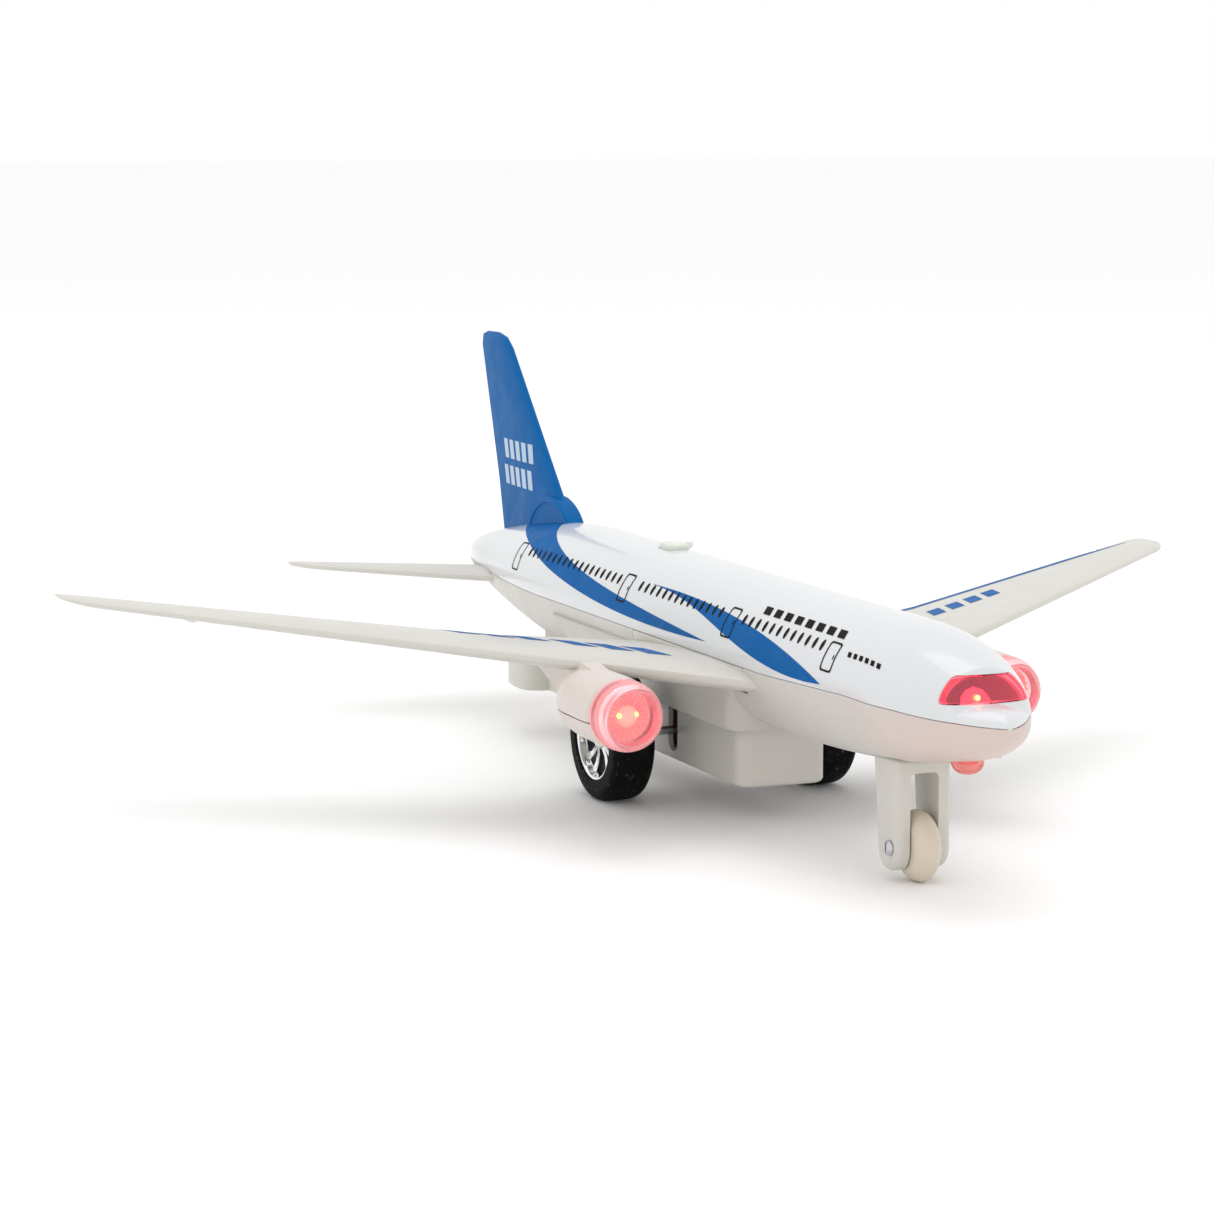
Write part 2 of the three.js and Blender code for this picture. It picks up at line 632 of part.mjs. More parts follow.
function bellyTub() {
  const form = tubForm(0, BOX_TOP_Z);
  const roof = toSolid(block(-20, 20, FAIRING_REAR_Y - 0.6, 100, BOX_TOP_Z - BOX_WALL, 30));
  let tub = form.subtract(tubForm(BOX_WALL, BOX_TOP_Z + 3).subtract(roof));
  for (const [x, y] of TUB_SCREWS) {
    const floor = y > 0 ? POD_BOTTOM_Z : BOX_BOTTOM_Z;
    tub = tub.add(toSolid(rodZ(2.6, x, y, floor + 0.4, BOX_TOP_Z, 12)).intersect(form));
    tub = cut(
      tub,
      rodZ(TUB_SCREW_R + GAP, x, y, floor - 1, BOX_TOP_Z + 1, 8),
      rodZ(1.9, x, y, floor - 1, TUB_SEAT_Z, 10));
  }
  for (const side of Object.values(SIDES)) {
    const x0 = side > 0 ? BOX_HALF - 2 : -BOX_HALF - 1;
    tub = cut(tub, block(x0, x0 + 3, -3.6, 1.8, 12.9, 30), rodX(2.7, x0, x0 + 3, -0.9, 12.9, 14));
  }
  const post = rodZ(2.6, 0, COVER_SCREW_Y, COVER_BOSS_TOP_Z + GAP, 16, 12);
  const postRib = block(-BOX_HALF + 0.5, BOX_HALF - 0.5, COVER_SCREW_Y - 0.7, COVER_SCREW_Y + 0.7, 11, 16);
  tub = cut(
    tub.add(join(post, postRib)),
    block(-COVER_HALF - GAP, COVER_HALF + GAP, COVER_FRONT_Y - GAP, COVER_REAR_Y + GAP, 6, BOX_BOTTOM_Z + 1.5),
    rodZ(TUB_SCREW_R + GAP, 0, COVER_SCREW_Y, 6, 15, 10));
  for (const [x, y] of speakerHoles()) tub = cut(tub, rodZ(0.9, x, y, 6, 11, 6));
  return toGeometry(tub);
}

function speakerHoles() {
  const ring = [0, 1, 2, 3, 4, 5].map((i) => (i / 6) * 2 * Math.PI);
  return [[0, SPEAKER_Y], ...ring.map((a) => [4 * Math.cos(a), SPEAKER_Y + 4 * Math.sin(a)])];
}

function batteryCover() {
  const top = BOX_BOTTOM_Z + COVER_THICKNESS;
  const plate = block(-COVER_HALF, COVER_HALF, COVER_FRONT_Y, COVER_REAR_Y, BOX_BOTTOM_Z, top);
  const web = block(-3, 3, COVER_REAR_Y - 0.9, COVER_REAR_Y, top - 0.2, top + 0.9);
  const hook = block(-3, 3, COVER_REAR_Y - 0.9, COVER_REAR_Y + 1.6, top + GAP, top + 0.9);
  const boss = rodZ(3, 0, COVER_SCREW_Y, BOX_BOTTOM_Z, COVER_BOSS_TOP_Z, 14);
  const screwHole = rodZ(TUB_SCREW_R + GAP, 0, COVER_SCREW_Y, 5, 12, 10);
  const headRoom = rodZ(2.1, 0, COVER_SCREW_Y, 5, BOX_BOTTOM_Z + 1.5, 12);
  return toGeometry(cut(join(plate, web, hook, boss), screwHole, headRoom));
}

// A screw that points up: head underneath, threaded shank above.
function screwUp(x, y, headZ, length, shank, head) {
  const profile = [
    [headZ, 0], [headZ, head * 0.85], [headZ + 0.5, head], [headZ + 1.2, head], [headZ + 1.2, shank],
    [headZ + length - 1, shank], [headZ + length, 0.3], [headZ + length, 0],
  ];
  return turnedZ(profile, x, y, 8);
}

// ---------------------------------------------------------------- button cells
const CELL_PITCH = 2 * CELL_R + 0.4;
const CELL_STATIONS = [0, 1, 2].map((i) => 32.4 + i * CELL_PITCH);
const CELL_Z = 10.2;
const CELL_TOP_Z = CELL_Z + CELL_HEIGHT;
const CONTACT_THICKNESS = 0.3;

function buttonCell(y) {
  const profile = [
    [CELL_Z, 0], [CELL_Z, CELL_R - 0.4], [CELL_Z + 0.4, CELL_R], [CELL_TOP_Z - 0.8, CELL_R],
    [CELL_TOP_Z, 5], [CELL_TOP_Z, 0],
  ];
  return turnedZ(profile, 0, y, 16);
}

function batteryTray() {
  const body = block(-8.9, 8.9, 25.4, 62.1, CELL_Z, 18);
  const pockets = CELL_STATIONS.map((y) => rodZ(CELL_R + GAP, 0, y, 5, CELL_TOP_Z + GAP, 16));
  const room = block(-2.5, 2.5, 27, 61, 15, CELL_TOP_Z + 2 * GAP + CONTACT_THICKNESS);
  return toGeometry(cut(toSolid(body), ...pockets, room));
}

function contactStrip(y0, y1, z) {
  return block(-2, 2, y0, y1, z, z + CONTACT_THICKNESS);
}

// ---------------------------------------------------------------- speaker
function speakerFrame() {
  const z = BOX_BOTTOM_Z + BOX_WALL + GAP;
  const profile = [
    [z + 0.4, SPEAKER_R - 0.9], [z, SPEAKER_R - 0.6], [z, SPEAKER_R], [z + 1, SPEAKER_R], [z + 3, 5.2],
    [z + 6.4, 4.6], [z + 6.4, 0], [z + 2.4, 0], [z + 2.4, 4.4], [z + 0.4, SPEAKER_R - 0.9],
  ];
  return turnedZ(profile, 0, SPEAKER_Y, 16);
}

function speakerCone() {
  const z = BOX_BOTTOM_Z + BOX_WALL + GAP;
  const profile = [
    [z + 1.4, 0], [z + 0.8, 3], [z + 0.2, 6.6], [z + 0.2, 7.6], [z + 0.5, 7.6], [z + 1.3, 3], [z + 1.8, 0],
  ];
  return turnedZ(profile, 0, SPEAKER_Y, 16);
}

// ---------------------------------------------------------------- circuit board and button
const BOARD_Z = 42;
const BOARD_THICKNESS = 1.2;
const BOARD_PINS_Y = [-8, 44];
const SWITCH_TOP_Z = 46.6;
const STEM_BOTTOM_Z = 48.3;

// The board with its potted sound chip underneath and the soldered switch body on top.
function circuitBoard() {
  const board = block(-9, 9, -14, 49.5, BOARD_Z, BOARD_Z + BOARD_THICKNESS);
  const chip = rodZ(4, 0, 6, BOARD_Z - 1.6, BOARD_Z + 0.2, 12);
  const body = block(-3, 3, BUTTON_Y - 3, BUTTON_Y + 3, BOARD_Z + BOARD_THICKNESS - 0.2, SWITCH_TOP_Z);
  const holes = BOARD_PINS_Y.map((y) => rodZ(1.1, 0, y, 40, 45, 10));
  const well = rodZ(1.6 + GAP, 0, BUTTON_Y, SWITCH_TOP_Z - 2.6, SWITCH_TOP_Z + 1, 12);
  return toGeometry(cut(join(board, chip, body), well, ...holes));
}

function switchPlunger() {
  return rodZ(1.6, 0, BUTTON_Y, SWITCH_TOP_Z - 1.2, STEM_BOTTOM_Z - GAP, 12);
}

// Oblong cap with a flange that stops it leaving the roof, and a stem onto the switch.
function soundButton() {
  const halfW = BUTTON_WIDTH / 2;
  const halfL = BUTTON_LENGTH / 2;
  const cap = roundedBlock(-halfW, halfW, BUTTON_Y - halfL, BUTTON_Y + halfL, 51.2, 55.3, halfW - 0.1, 0.5);
  const flange = roundedBlock(-halfW - 1.1, halfW + 1.1, BUTTON_Y - halfL - 1.1, BUTTON_Y + halfL + 1.1, 50.4, 51.6, halfW);
  const stem = rodZ(1.7, 0, BUTTON_Y, STEM_BOTTOM_Z, 51, 12);
  return toGeometry(join(cap, flange, stem));
}

// ---------------------------------------------------------------- nose gear
const PIN_Z = NOSE_WHEEL_R;
const FORK_FRONT_Y = -106.3;
const FORK_REAR_Y = -97.2;
const FORK_TAPER = 2.4; // how much longer the fork is at its top than at its foot
const DOME_Y = -124.5;
const DOME_R = 3.3;

function forkSocket() {
  return block(
    -FORK_HALF - GAP, FORK_HALF + GAP, FORK_FRONT_Y - GAP, FORK_REAR_Y + FORK_TAPER + GAP, 15, 31);
}

function noseFork() {
  const shape = new THREE.Shape();
  const footR = (FORK_REAR_Y - FORK_FRONT_Y) / 2;
  shape.moveTo(FORK_FRONT_Y, 26.5);
  shape.lineTo(FORK_FRONT_Y, footR + 2.4);
  shape.absarc((FORK_FRONT_Y + FORK_REAR_Y) / 2, footR + 2.4, footR, Math.PI, 2 * Math.PI, false);
  shape.lineTo(FORK_REAR_Y + FORK_TAPER, 26.5);
  const slab = new THREE.ExtrudeGeometry(shape, { depth: 2 * FORK_HALF, bevelEnabled: false, curveSegments: 8 });
  slab.applyMatrix4(new THREE.Matrix4().set(0, 0, 1, 0, 1, 0, 0, 0, 0, 1, 0, 0, 0, 0, 0, 1)).translate(-FORK_HALF, 0, 0);
  const inner = FORK_HALF - FORK_LEG;
  const gap = block(-inner, inner, -112, -90, 0, 23);
  const head = block(-FORK_HALF - 1.5, FORK_HALF + 1.5, FORK_FRONT_Y - 1.2, FORK_REAR_Y + FORK_TAPER + 1.2, 29.4, 31);
  const neck = block(-FORK_HALF + 0.5, FORK_HALF - 0.5, FORK_FRONT_Y + 1, FORK_REAR_Y - 1, 26, 30);
  return toGeometry(cut(join(slab, head, neck), gap, rodX(AXLE_R + GAP, -10, 10, NOSE_WHEEL_Y, PIN_Z, 16)));
}

function noseWheel() {
  const profile = [
    [-2.9, 1.3], [-2.9, 5], [-1.6, 7], [0, NOSE_WHEEL_R], [1.6, 7], [2.9, 5], [2.9, 1.3], [-2.9, 1.3],
  ];
  return turnedX(profile, NOSE_WHEEL_Y, PIN_Z, 24);
}

function nosePin() {
  const face = FORK_HALF + GAP;
  const profile = [
    [-face - 0.7, 0], [-face - 0.7, 1.1], [-face - 0.3, 1.6], [-face, 1.6], [-face, AXLE_R], [face, AXLE_R], [face, 0],
  ];
  return turnedX(profile, NOSE_WHEEL_Y, PIN_Z, 12);
}

// Clear dome under the nose, hollow for its LED.
function bellyDome() {
  const profile = [
    [25.9, 0], [26.2, 1.7], [26.9, 2.8], [27.9, DOME_R], [32.4, DOME_R], [32.4, 4.2], [33.4, 4.2], [33.4, 2.1],
    [28.2, 2.1], [27.5, 1.2], [27.3, 0],
  ];
  return turnedZ(profile, 0, DOME_Y, 14);
}

// ---------------------------------------------------------------- main wheels
const SPOKES = 5;
const SPOKE_X = 26.6;

// A hole between two radii, leaving a rib of the given width at either side.
function sectorHole(r0, r1, from, to, rib) {
  const hole = new THREE.Path();
  const inset = (r) => rib / 2 / r;
  hole.absarc(0, 0, r1, from + inset(r1), to - inset(r1), false);
  hole.absarc(0, 0, r0, to - inset(r0), from + inset(r0), true);
  hole.closePath();
  return hole;
}

function sectorPoints(r, count) {
  return Array.from({ length: count }, (_, i) => {
    const angle = (i / count) * 2 * Math.PI;
    return new THREE.Vector2(r * Math.cos(angle), r * Math.sin(angle));
  });
}

function spokeDisc() {
  const shape = new THREE.Shape();
  const rim = sectorPoints(9.4, 20);
  shape.setFromPoints(rim);
  const step = (2 * Math.PI) / SPOKES;
  for (let i = 0; i < SPOKES; i++) {
    const split = i * step;
    shape.holes.push(sectorHole(4.6, 9, split - 0.16, split + 0.16, 0.5));
    shape.holes.push(sectorHole(3.4, 9, split + 0.24, split + step - 0.24, 1.1));
  }
  const disc = new THREE.ExtrudeGeometry(shape, { depth: 1.6, bevelEnabled: false, curveSegments: 2 });
  return disc.rotateX(Math.PI / 2).rotateZ(Math.PI / 2).translate(SPOKE_X + 1.6, 0, 0);
}

function wheelRim(side) {
  const barrel = [
    [21.4, 9.2], [21.4, RIM_R], [30, RIM_R], [30, 9.6], [28.4, 9.2], [21.4, 9.2],
  ];
  const hub = [[20.9, 0], [20.9, 2.4], [SPOKE_X + 1, 3.8], [SPOKE_X + 2.4, 3.2], [SPOKE_X + 2.9, 2.4], [SPOKE_X + 2.9, 0]];
  let rim = join(turnedX(barrel, 0, 0, 20), turnedX(hub, 0, 0, 10), spokeDisc());
  rim = cut(rim, rodX(AXLE_R + GAP, 18, SPOKE_X + 1.8, 0, 0, 10));
  const geometry = toGeometry(rim);
  if (side < 0) geometry.rotateZ(Math.PI);
  return geometry.translate(0, 0, WHEEL_R);
}

function tyre(side) {
  const inner = TYRE_OUTER_X - TYRE_WIDTH;
  const bead = RIM_R + GAP;
  const profile = [
    [inner, bead], [inner, 13.6], [inner + 1.6, WHEEL_R], [TYRE_OUTER_X - 1.6, WHEEL_R],
    [TYRE_OUTER_X, 13.6], [TYRE_OUTER_X, bead], [inner, bead],
  ];
  const geometry = turnedX(profile, 0, 0, 28);
  if (side < 0) geometry.rotateZ(Math.PI);
  return geometry.translate(0, 0, WHEEL_R);
}

// ---------------------------------------------------------------- friction drive
// Shaft centres (y, z): axle, two idlers, flywheel. Each pair is one centre distance apart.
const CENTRE_DISTANCE = ((WHEEL_TEETH + PINION_TEETH) / 2) * GEAR_MODULE;
const DRIVE_HEADINGS = [77, 33, 57].map(THREE.MathUtils.degToRad);
const SHAFTS = [[0, WHEEL_R]];
for (const heading of DRIVE_HEADINGS) {
  const [y, z] = SHAFTS[SHAFTS.length - 1];
  SHAFTS.push([y + CENTRE_DISTANCE * Math.cos(heading), z + CENTRE_DISTANCE * Math.sin(heading)]);
}
const SHAFT_R = 0.75;
const PLATE_X = 6.6;

// Straight-flanked teeth with running clearance; one tooth points along the phase angle.
function gearShape(teeth, phase, boreRadius) {
  const pitchR = (teeth * GEAR_MODULE) / 2;
  const rootR = pitchR - 1.2 * GEAR_MODULE;
  const tipR = pitchR + 0.75 * GEAR_MODULE;
  const pitch = (2 * Math.PI) / teeth;
  const shape = new THREE.Shape();
  for (let i = 0; i < teeth; i++) {
    const a = phase + i * pitch;
    const corners = [[rootR, -0.28], [tipR, -0.11], [tipR, 0.11], [rootR, 0.28]];
    corners.forEach(([r, offset], k) => {
      const angle = a + offset * pitch;
      const point = [r * Math.cos(angle), r * Math.sin(angle)];
      if (i === 0 && k === 0) shape.moveTo(...point);
      else shape.lineTo(...point);
    });
  }
  shape.closePath();
  const bore = new THREE.Path();
  if (boreRadius > 0) {
    bore.absarc(0, 0, boreRadius, 0, 2 * Math.PI, true);
    shape.holes.push(bore);
  }
  return shape;
}

function gear(teeth, phase, bore, x0, x1, [y, z]) {
  const geometry = new THREE.ExtrudeGeometry(
    gearShape(teeth, phase, bore), { depth: x1 - x0, bevelEnabled: false, curveSegments: 6 });
  geometry.applyMatrix4(new THREE.Matrix4().set(0, 0, 1, 0, 1, 0, 0, 0, 0, 1, 0, 0, 0, 0, 0, 1));
  return geometry.translate(x0, y, z);
}

// The phase that puts a pinion's gap on the line back to its driving wheel.
const pinionPhase = (stage) => DRIVE_HEADINGS[stage] + Math.PI + Math.PI / PINION_TEETH;
const wheelPhase = (stage) => DRIVE_HEADINGS[stage];

function axleGear() {
  return gear(WHEEL_TEETH, wheelPhase(0), AXLE_R + GAP, -5.8, -3.2, SHAFTS[0]);
}

function compoundGear(stage, pinionX, wheelX) {
  const bore = SHAFT_R + GAP;
  const pinion = gear(PINION_TEETH, pinionPhase(stage - 1), 0, pinionX, wheelX + 0.5, SHAFTS[stage]);
  const wheel = gear(WHEEL_TEETH, wheelPhase(stage), 0, wheelX, wheelX + 2, SHAFTS[stage]);
  const [y, z] = SHAFTS[stage];
  return toGeometry(cut(join(pinion, wheel), rodX(bore, -10, 10, y, z, 10)));
}

function flywheelShaft() {
  const [y, z] = SHAFTS[3];
  const pinion = gear(PINION_TEETH, pinionPhase(2), 0, -0.7, 1.9, SHAFTS[3]);
  return toGeometry(join(rodX(SHAFT_R, -11.6, 11.6, y, z, 10), pinion));
}

function flywheel(side) {
  const [y, z] = SHAFTS[3];
  const x0 = side > 0 ? 7.9 : -11.4;
  const disc = rodX(FLYWHEEL_R, x0, x0 + 3.5, y, z, 24);
  return toGeometry(cut(toSolid(disc), rodX(SHAFT_R + GAP, -15, 15, y, z, 10)));
}

// One side of the gearbox: a bearing plate with three posts that meet the other side's.
function gearboxSide(side) {
  const outline = [[-6, 9.8], [12.4, 9.8], [13.4, 24], [15.4, 30], [13, 34], [8, 34], [-6, 24]];
  const x0 = side > 0 ? PLATE_X : -PLATE_X - 1;
  const posts = [[-4.8, 22.4], [-4.8, 11], [11.2, 11.4]].map(([y, z]) => {
    const near = side > 0 ? 0.15 : -PLATE_X - 0.5;
    return rodX(0.9, near, near + PLATE_X + 0.35, y, z, 6);
  });
  const holes = SHAFTS.map(([y, z], i) => rodX((i === 0 ? AXLE_R : SHAFT_R) + GAP, -10, 10, y, z, 10));
  return toGeometry(cut(join(sidePlate(outline, x0, x0 + 1), ...posts), ...holes));
}

// ---------------------------------------------------------------- wiring
const WIRE_R = 0.55;

function wire(points, grow = 0) {
  const path = new THREE.CatmullRomCurve3(points.map(([x, y, z]) => new THREE.Vector3(x, y, z)), false, "catmullrom", 0.3);
  const shape = new THREE.Shape();
  shape.absarc(0, 0, WIRE_R + grow, 0, 2 * Math.PI, false);
  const steps = Math.ceil(path.getLength() / 5);
  return new THREE.ExtrudeGeometry(shape, { steps, extrudePath: path, curveSegments: 3 });
}

// From the board, through the wing root and pylon, to the engine's LED.
function wingWire(side, grow = 0) {
  const reach = grow > 0 ? 1 : 0;
  const route = [
    [8.4, -12.5, 40.8 + reach], [10.5, -17, 36.8], [16, -20, wingZ(16)], [30, -22, wingZ(30)],
    [42, -22.5, wingZ(42)], [ENGINE_X, -26, 34.8], [ENGINE_X, -31, 31.2], [ENGINE_X, LED_BACK_Y + 0.7 - reach, ENGINE_Z],
  ];
  return wire(route.map(([x, y, z]) => [side * x, y, z]), grow);
}

// ---------------------------------------------------------------- assembly
addPart("fuselage_upper_shell", upperShell(), GLOSS_WHITE);
addPart("fuselage_lower_shell", lowerShell(), WARM_WHITE);
addPart("cockpit_window", cockpitWindow(), CLEAR);
addPart("cockpit_led", turnedY(ledProfile(COCKPIT_LED_Y, COCKPIT_LED_R), 0, COCKPIT_LED_Z, 10), CLEAR);
addPart("belly_dome", bellyDome(), RED_CLEAR);
addPart("belly_led", turnedZ(ledProfile(28.8, 1.5), 0, DOME_Y, 8), CLEAR);
addPart("tail_fin", tailFin(), BLUE);

for (const [name, side] of Object.entries(SIDES)) {
  addPart(`wing_${name}`, wing(side), WARM_WHITE);
  addPart(`stabiliser_${name}`, stabiliser(side), WARM_WHITE);
  addPart(`nacelle_${name}_upper`, nacelleUpper(side), MILKY);
  addPart(`nacelle_${name}_lower`, nacelleLower(side), MILKY);
  addPart(`engine_lens_${name}`, engineLens(side), CLEAR);
  addPart(`engine_led_${name}`, engineLed(side), CLEAR);
  addPart(`engine_wire_${name}`, wingWire(side), BLACK_PLASTIC);
  addPart(`rim_${name}`, wheelRim(side), CHROME);
  addPart(`tyre_${name}`, tyre(side), RUBBER);
  addPart(`gearbox_${name}`, gearboxSide(side), NYLON);
  addPart(`flywheel_${name}`, flywheel(side), STEEL);
}

addPart("main_axle", rodX(AXLE_R, -SPOKE_X - 1.5, SPOKE_X + 1.5, 0, WHEEL_R, 16), STEEL);
addPart("axle_gear", axleGear(), NYLON);
addPart("compound_gear_1", compoundGear(1, -6, -2.7), NYLON);
addPart("compound_gear_2", compoundGear(2, -3, -0.4), NYLON);
addPart("gear_shaft_1", rodX(SHAFT_R, -PLATE_X - 1, PLATE_X + 1, ...SHAFTS[1], 12), STEEL);
addPart("gear_shaft_2", rodX(SHAFT_R, -PLATE_X - 1, PLATE_X + 1, ...SHAFTS[2], 12), STEEL);
addPart("flywheel_shaft", flywheelShaft(), STEEL);

addPart("nose_fork", noseFork(), WARM_WHITE);
addPart("nose_wheel", noseWheel(), CREAM);
addPart("nose_pin", nosePin(), STEEL);

addPart("belly_tub", bellyTub(), WARM_WHITE);
addPart("battery_cover", batteryCover(), WARM_WHITE);
addPart("battery_cover_screw", screwUp(0, COVER_SCREW_Y, BOX_BOTTOM_Z + 0.25, 6, TUB_SCREW_R, 1.7), STEEL);
["front_left", "front_right", "rear"].forEach((name, i) => {
  addPart(`tub_screw_${name}`, screwUp(...TUB_SCREWS[i], TUB_SEAT_Z - 1.25, 8.6, TUB_SCREW_R, 1.6), STEEL);
});
["front", "rear"].forEach((name, i) => {
  const y = SHELL_SCREWS[i];
  addPart(`shell_screw_${name}`, screwUp(0, y, skinBottomZ(y) + 2.75, 13, BODY_SCREW_R, 2.3), STEEL);
});
addPart("battery_tray", batteryTray(), BLACK_PLASTIC);
CELL_STATIONS.forEach((y, i) => addPart(`button_cell_${i + 1}`, buttonCell(y), STEEL));
const bottomContactZ = CELL_Z - 2 * GAP;
const topContactZ = CELL_TOP_Z + GAP;
addPart("battery_contact_negative", contactStrip(CELL_STATIONS[0] - 4, CELL_STATIONS[0] + 3, bottomContactZ), BRASS);
addPart("battery_bridge_lower", contactStrip(CELL_STATIONS[1] - 3, CELL_STATIONS[2] + 3, bottomContactZ), BRASS);
addPart("battery_bridge_upper", contactStrip(CELL_STATIONS[0] - 3, CELL_STATIONS[1] + 3, topContactZ), BRASS);
addPart("battery_contact_positive", contactStrip(CELL_STATIONS[2] - 3, CELL_STATIONS[2] + 4, topContactZ), BRASS);
addPart("speaker_frame", speakerFrame(), STEEL);
addPart("speaker_cone", speakerCone(), PAPER);

addPart("circuit_board", circuitBoard(), PCB_GREEN);
addPart("switch_plunger", switchPlunger(), BLACK_PLASTIC);
addPart("sound_button", soundButton(), WARM_WHITE);

export default airplane;
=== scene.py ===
import math

import bmesh
import bpy
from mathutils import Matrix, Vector


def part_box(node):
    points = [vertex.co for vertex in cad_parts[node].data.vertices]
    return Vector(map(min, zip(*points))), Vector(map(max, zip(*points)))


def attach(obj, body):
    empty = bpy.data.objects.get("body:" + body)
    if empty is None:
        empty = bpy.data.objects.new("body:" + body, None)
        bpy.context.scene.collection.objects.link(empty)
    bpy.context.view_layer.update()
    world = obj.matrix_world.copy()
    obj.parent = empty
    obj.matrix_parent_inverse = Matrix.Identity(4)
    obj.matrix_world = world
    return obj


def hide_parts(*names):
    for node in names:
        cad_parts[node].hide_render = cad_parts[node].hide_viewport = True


# Toy airliner. Lengths are in millimetres and stations run aft from the main axle;
# at() turns them into the frame's metres. Starboard, the camera's side, is -X.
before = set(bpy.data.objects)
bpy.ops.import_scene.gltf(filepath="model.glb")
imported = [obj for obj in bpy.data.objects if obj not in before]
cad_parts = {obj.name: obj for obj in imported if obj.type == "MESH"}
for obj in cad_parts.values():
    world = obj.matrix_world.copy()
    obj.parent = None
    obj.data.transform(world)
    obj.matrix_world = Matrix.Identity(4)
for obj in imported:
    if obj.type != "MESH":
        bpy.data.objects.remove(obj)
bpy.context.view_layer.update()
scene = bpy.context.scene

MM = 0.001
TAU = 2 * math.pi
AXLE_Y = sum(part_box("main_axle")[i].y for i in (0, 1)) / 2 / MM

NOSE = -142.0
TAIL = 157.0
BODY_R = 16.0
WALL = 1.5
SEAM = [(-142, 37.9), (-120, 39.1), (-100, 39.1), (-60, 37.4), (157, 37.1)]
SEAM_GAP = 0.14
FORK_CENTRE = (-103.5, 7.5)
DOME_STATION = -124.5
BUTTON_STATION = 24.0
SIDES = {"left": 1, "right": -1}

# Sockets of a colour Mix node, which are only told apart by number.
MIX_FACTOR = 0
MIX_FIRST = 6
MIX_SECOND = 7
MIX_RESULT = 2


# ------------------------------------------------------------ numbers
def clamp(t, low=0.0, high=1.0):
    return max(low, min(high, t))


def lerp(a, b, t):
    return a + (b - a) * t


def smoothstep(t, low, high):
    u = clamp((t - low) / (high - low))
    return u * u * (3 - 2 * u)


def rounding(t):
    return 1 - (1 - clamp(t)) ** 2


def along(line, t):
    """Height of a line of (t, value) points at t."""
    for (t0, v0), (t1, v1) in zip(line, line[1:]):
        if t <= t1:
            return lerp(v0, v1, clamp((t - t0) / (t1 - t0)))
    return line[-1][1]


def at(x, station, z):
    return Vector((x, station + AXLE_Y, z)) * MM


def soften(points, radius, closed=False, steps=5):
    """Rounds the corners of a flat line."""
    line = []
    for i, point in enumerate(points):
        if not closed and i in (0, len(points) - 1):
            line.append(tuple(point))
            continue
        corner = Vector(point)
        before = Vector(points[i - 1]) - corner
        after = Vector(points[(i + 1) % len(points)]) - corner
        start = corner + before * min(radius / before.length, 0.45)
        end = corner + after * min(radius / after.length, 0.45)
        for k in range(steps + 1):
            t = k / steps
            line.append(tuple(start * (1 - t) ** 2 + corner * (2 * t * (1 - t)) + end * t * t))
    return line


def rectangle(x0, x1, y0, y1):
    return [(x0, y0), (x1, y0), (x1, y1), (x0, y1)]


# ------------------------------------------------------------ solids
def new_piece(name, points, faces):
    mesh = bpy.data.meshes.new(name)
    mesh.from_pydata(points, [], faces)
    shape = bmesh.new()
    shape.from_mesh(mesh)
    bmesh.ops.recalc_face_normals(shape, faces=shape.faces)
    shape.to_mesh(mesh)
    shape.free()
    piece = bpy.data.objects.new(name, mesh)
    scene.collection.objects.link(piece)
    return piece


def loft(name, rings, closed=False):
    """A skin over rings of equal count, capped at both ends or closed on itself."""
    count = len(rings[0])
    total = len(rings)
    faces = []
    for i in range(total if closed else total - 1):
        here = i * count
        there = (i + 1) % total * count
        for j in range(count):
            k = (j + 1) % count
            faces.append((here + j, here + k, there + k, there + j))
    if not closed:
        faces.append(tuple(range(count)))
        faces.append(tuple(range((total - 1) * count, total * count)))
    return new_piece(name, [p for ring in rings for p in ring], faces)


def turned(name, axis, centre, profile, segments=72, closed=False):
    """A turned solid; centre gives the two coordinates across the axis, in x, station, z order."""
    rings = []
    for distance, radius in profile:
        ring = []
        for i in range(segments):
            a = centre[0] + max(radius, 0.001) * math.cos(TAU * i / segments)
            b = centre[1] + max(radius, 0.001) * math.sin(TAU * i / segments)
            spots = {"x": (distance, a, b), "y": (a, distance, b), "z": (a, b, distance)}
            ring.append(at(*spots[axis]))
        rings.append(ring)
    return loft(name, rings, closed)


def rod(name, axis, centre, radius, low, high):
    return turned(name, axis, centre, [(low, 0), (low, radius), (high, radius), (high, 0)], 40)


def prism(name, axis, outline, low, high):
    """An outline pushed along x (given as station, z), y (as x, z) or z (as x, station)."""
    rings = []
    for d in (low, high):
        if axis == "x":
            rings.append([at(d, a, b) for a, b in outline])
        elif axis == "y":
            rings.append([at(a, d, b) for a, b in outline])
        else:
            rings.append([at(a, b, d) for a, b in outline])
    return loft(name, rings)


def block(name, x0, x1, y0, y1, z0, z1, corner=0.0):
    """An upright block whose vertical edges may be rounded."""
    outline = rectangle(x0, x1, y0, y1)
    if corner:
        outline = soften(outline, corner, closed=True)
    return prism(name, "z", outline, z0, z1)


def settle(piece):
    """Applies a piece's modifiers."""
    graph = bpy.context.evaluated_depsgraph_get()
    mesh = bpy.data.meshes.new_from_object(piece.evaluated_get(graph))
    piece.modifiers.clear()
    piece.data = mesh


def combine(piece, tool, operation):
    """Joins a tool to a piece, cuts it out or keeps what they share; the tool is used up."""
    step = piece.modifiers.new(operation, "BOOLEAN")
    step.operation = operation
    step.solver = "MANIFOLD"
    step.object = tool
    settle(piece)
    if not piece.data.polygons:
        raise RuntimeError(f"{piece.name}: {operation} with {tool.name} left nothing")
    bpy.data.objects.remove(tool)


def cut(piece, *tools):
    for tool in tools:
        combine(piece, tool, "DIFFERENCE")


def join(piece, *tools):
    for tool in tools:
        combine(piece, tool, "UNION")


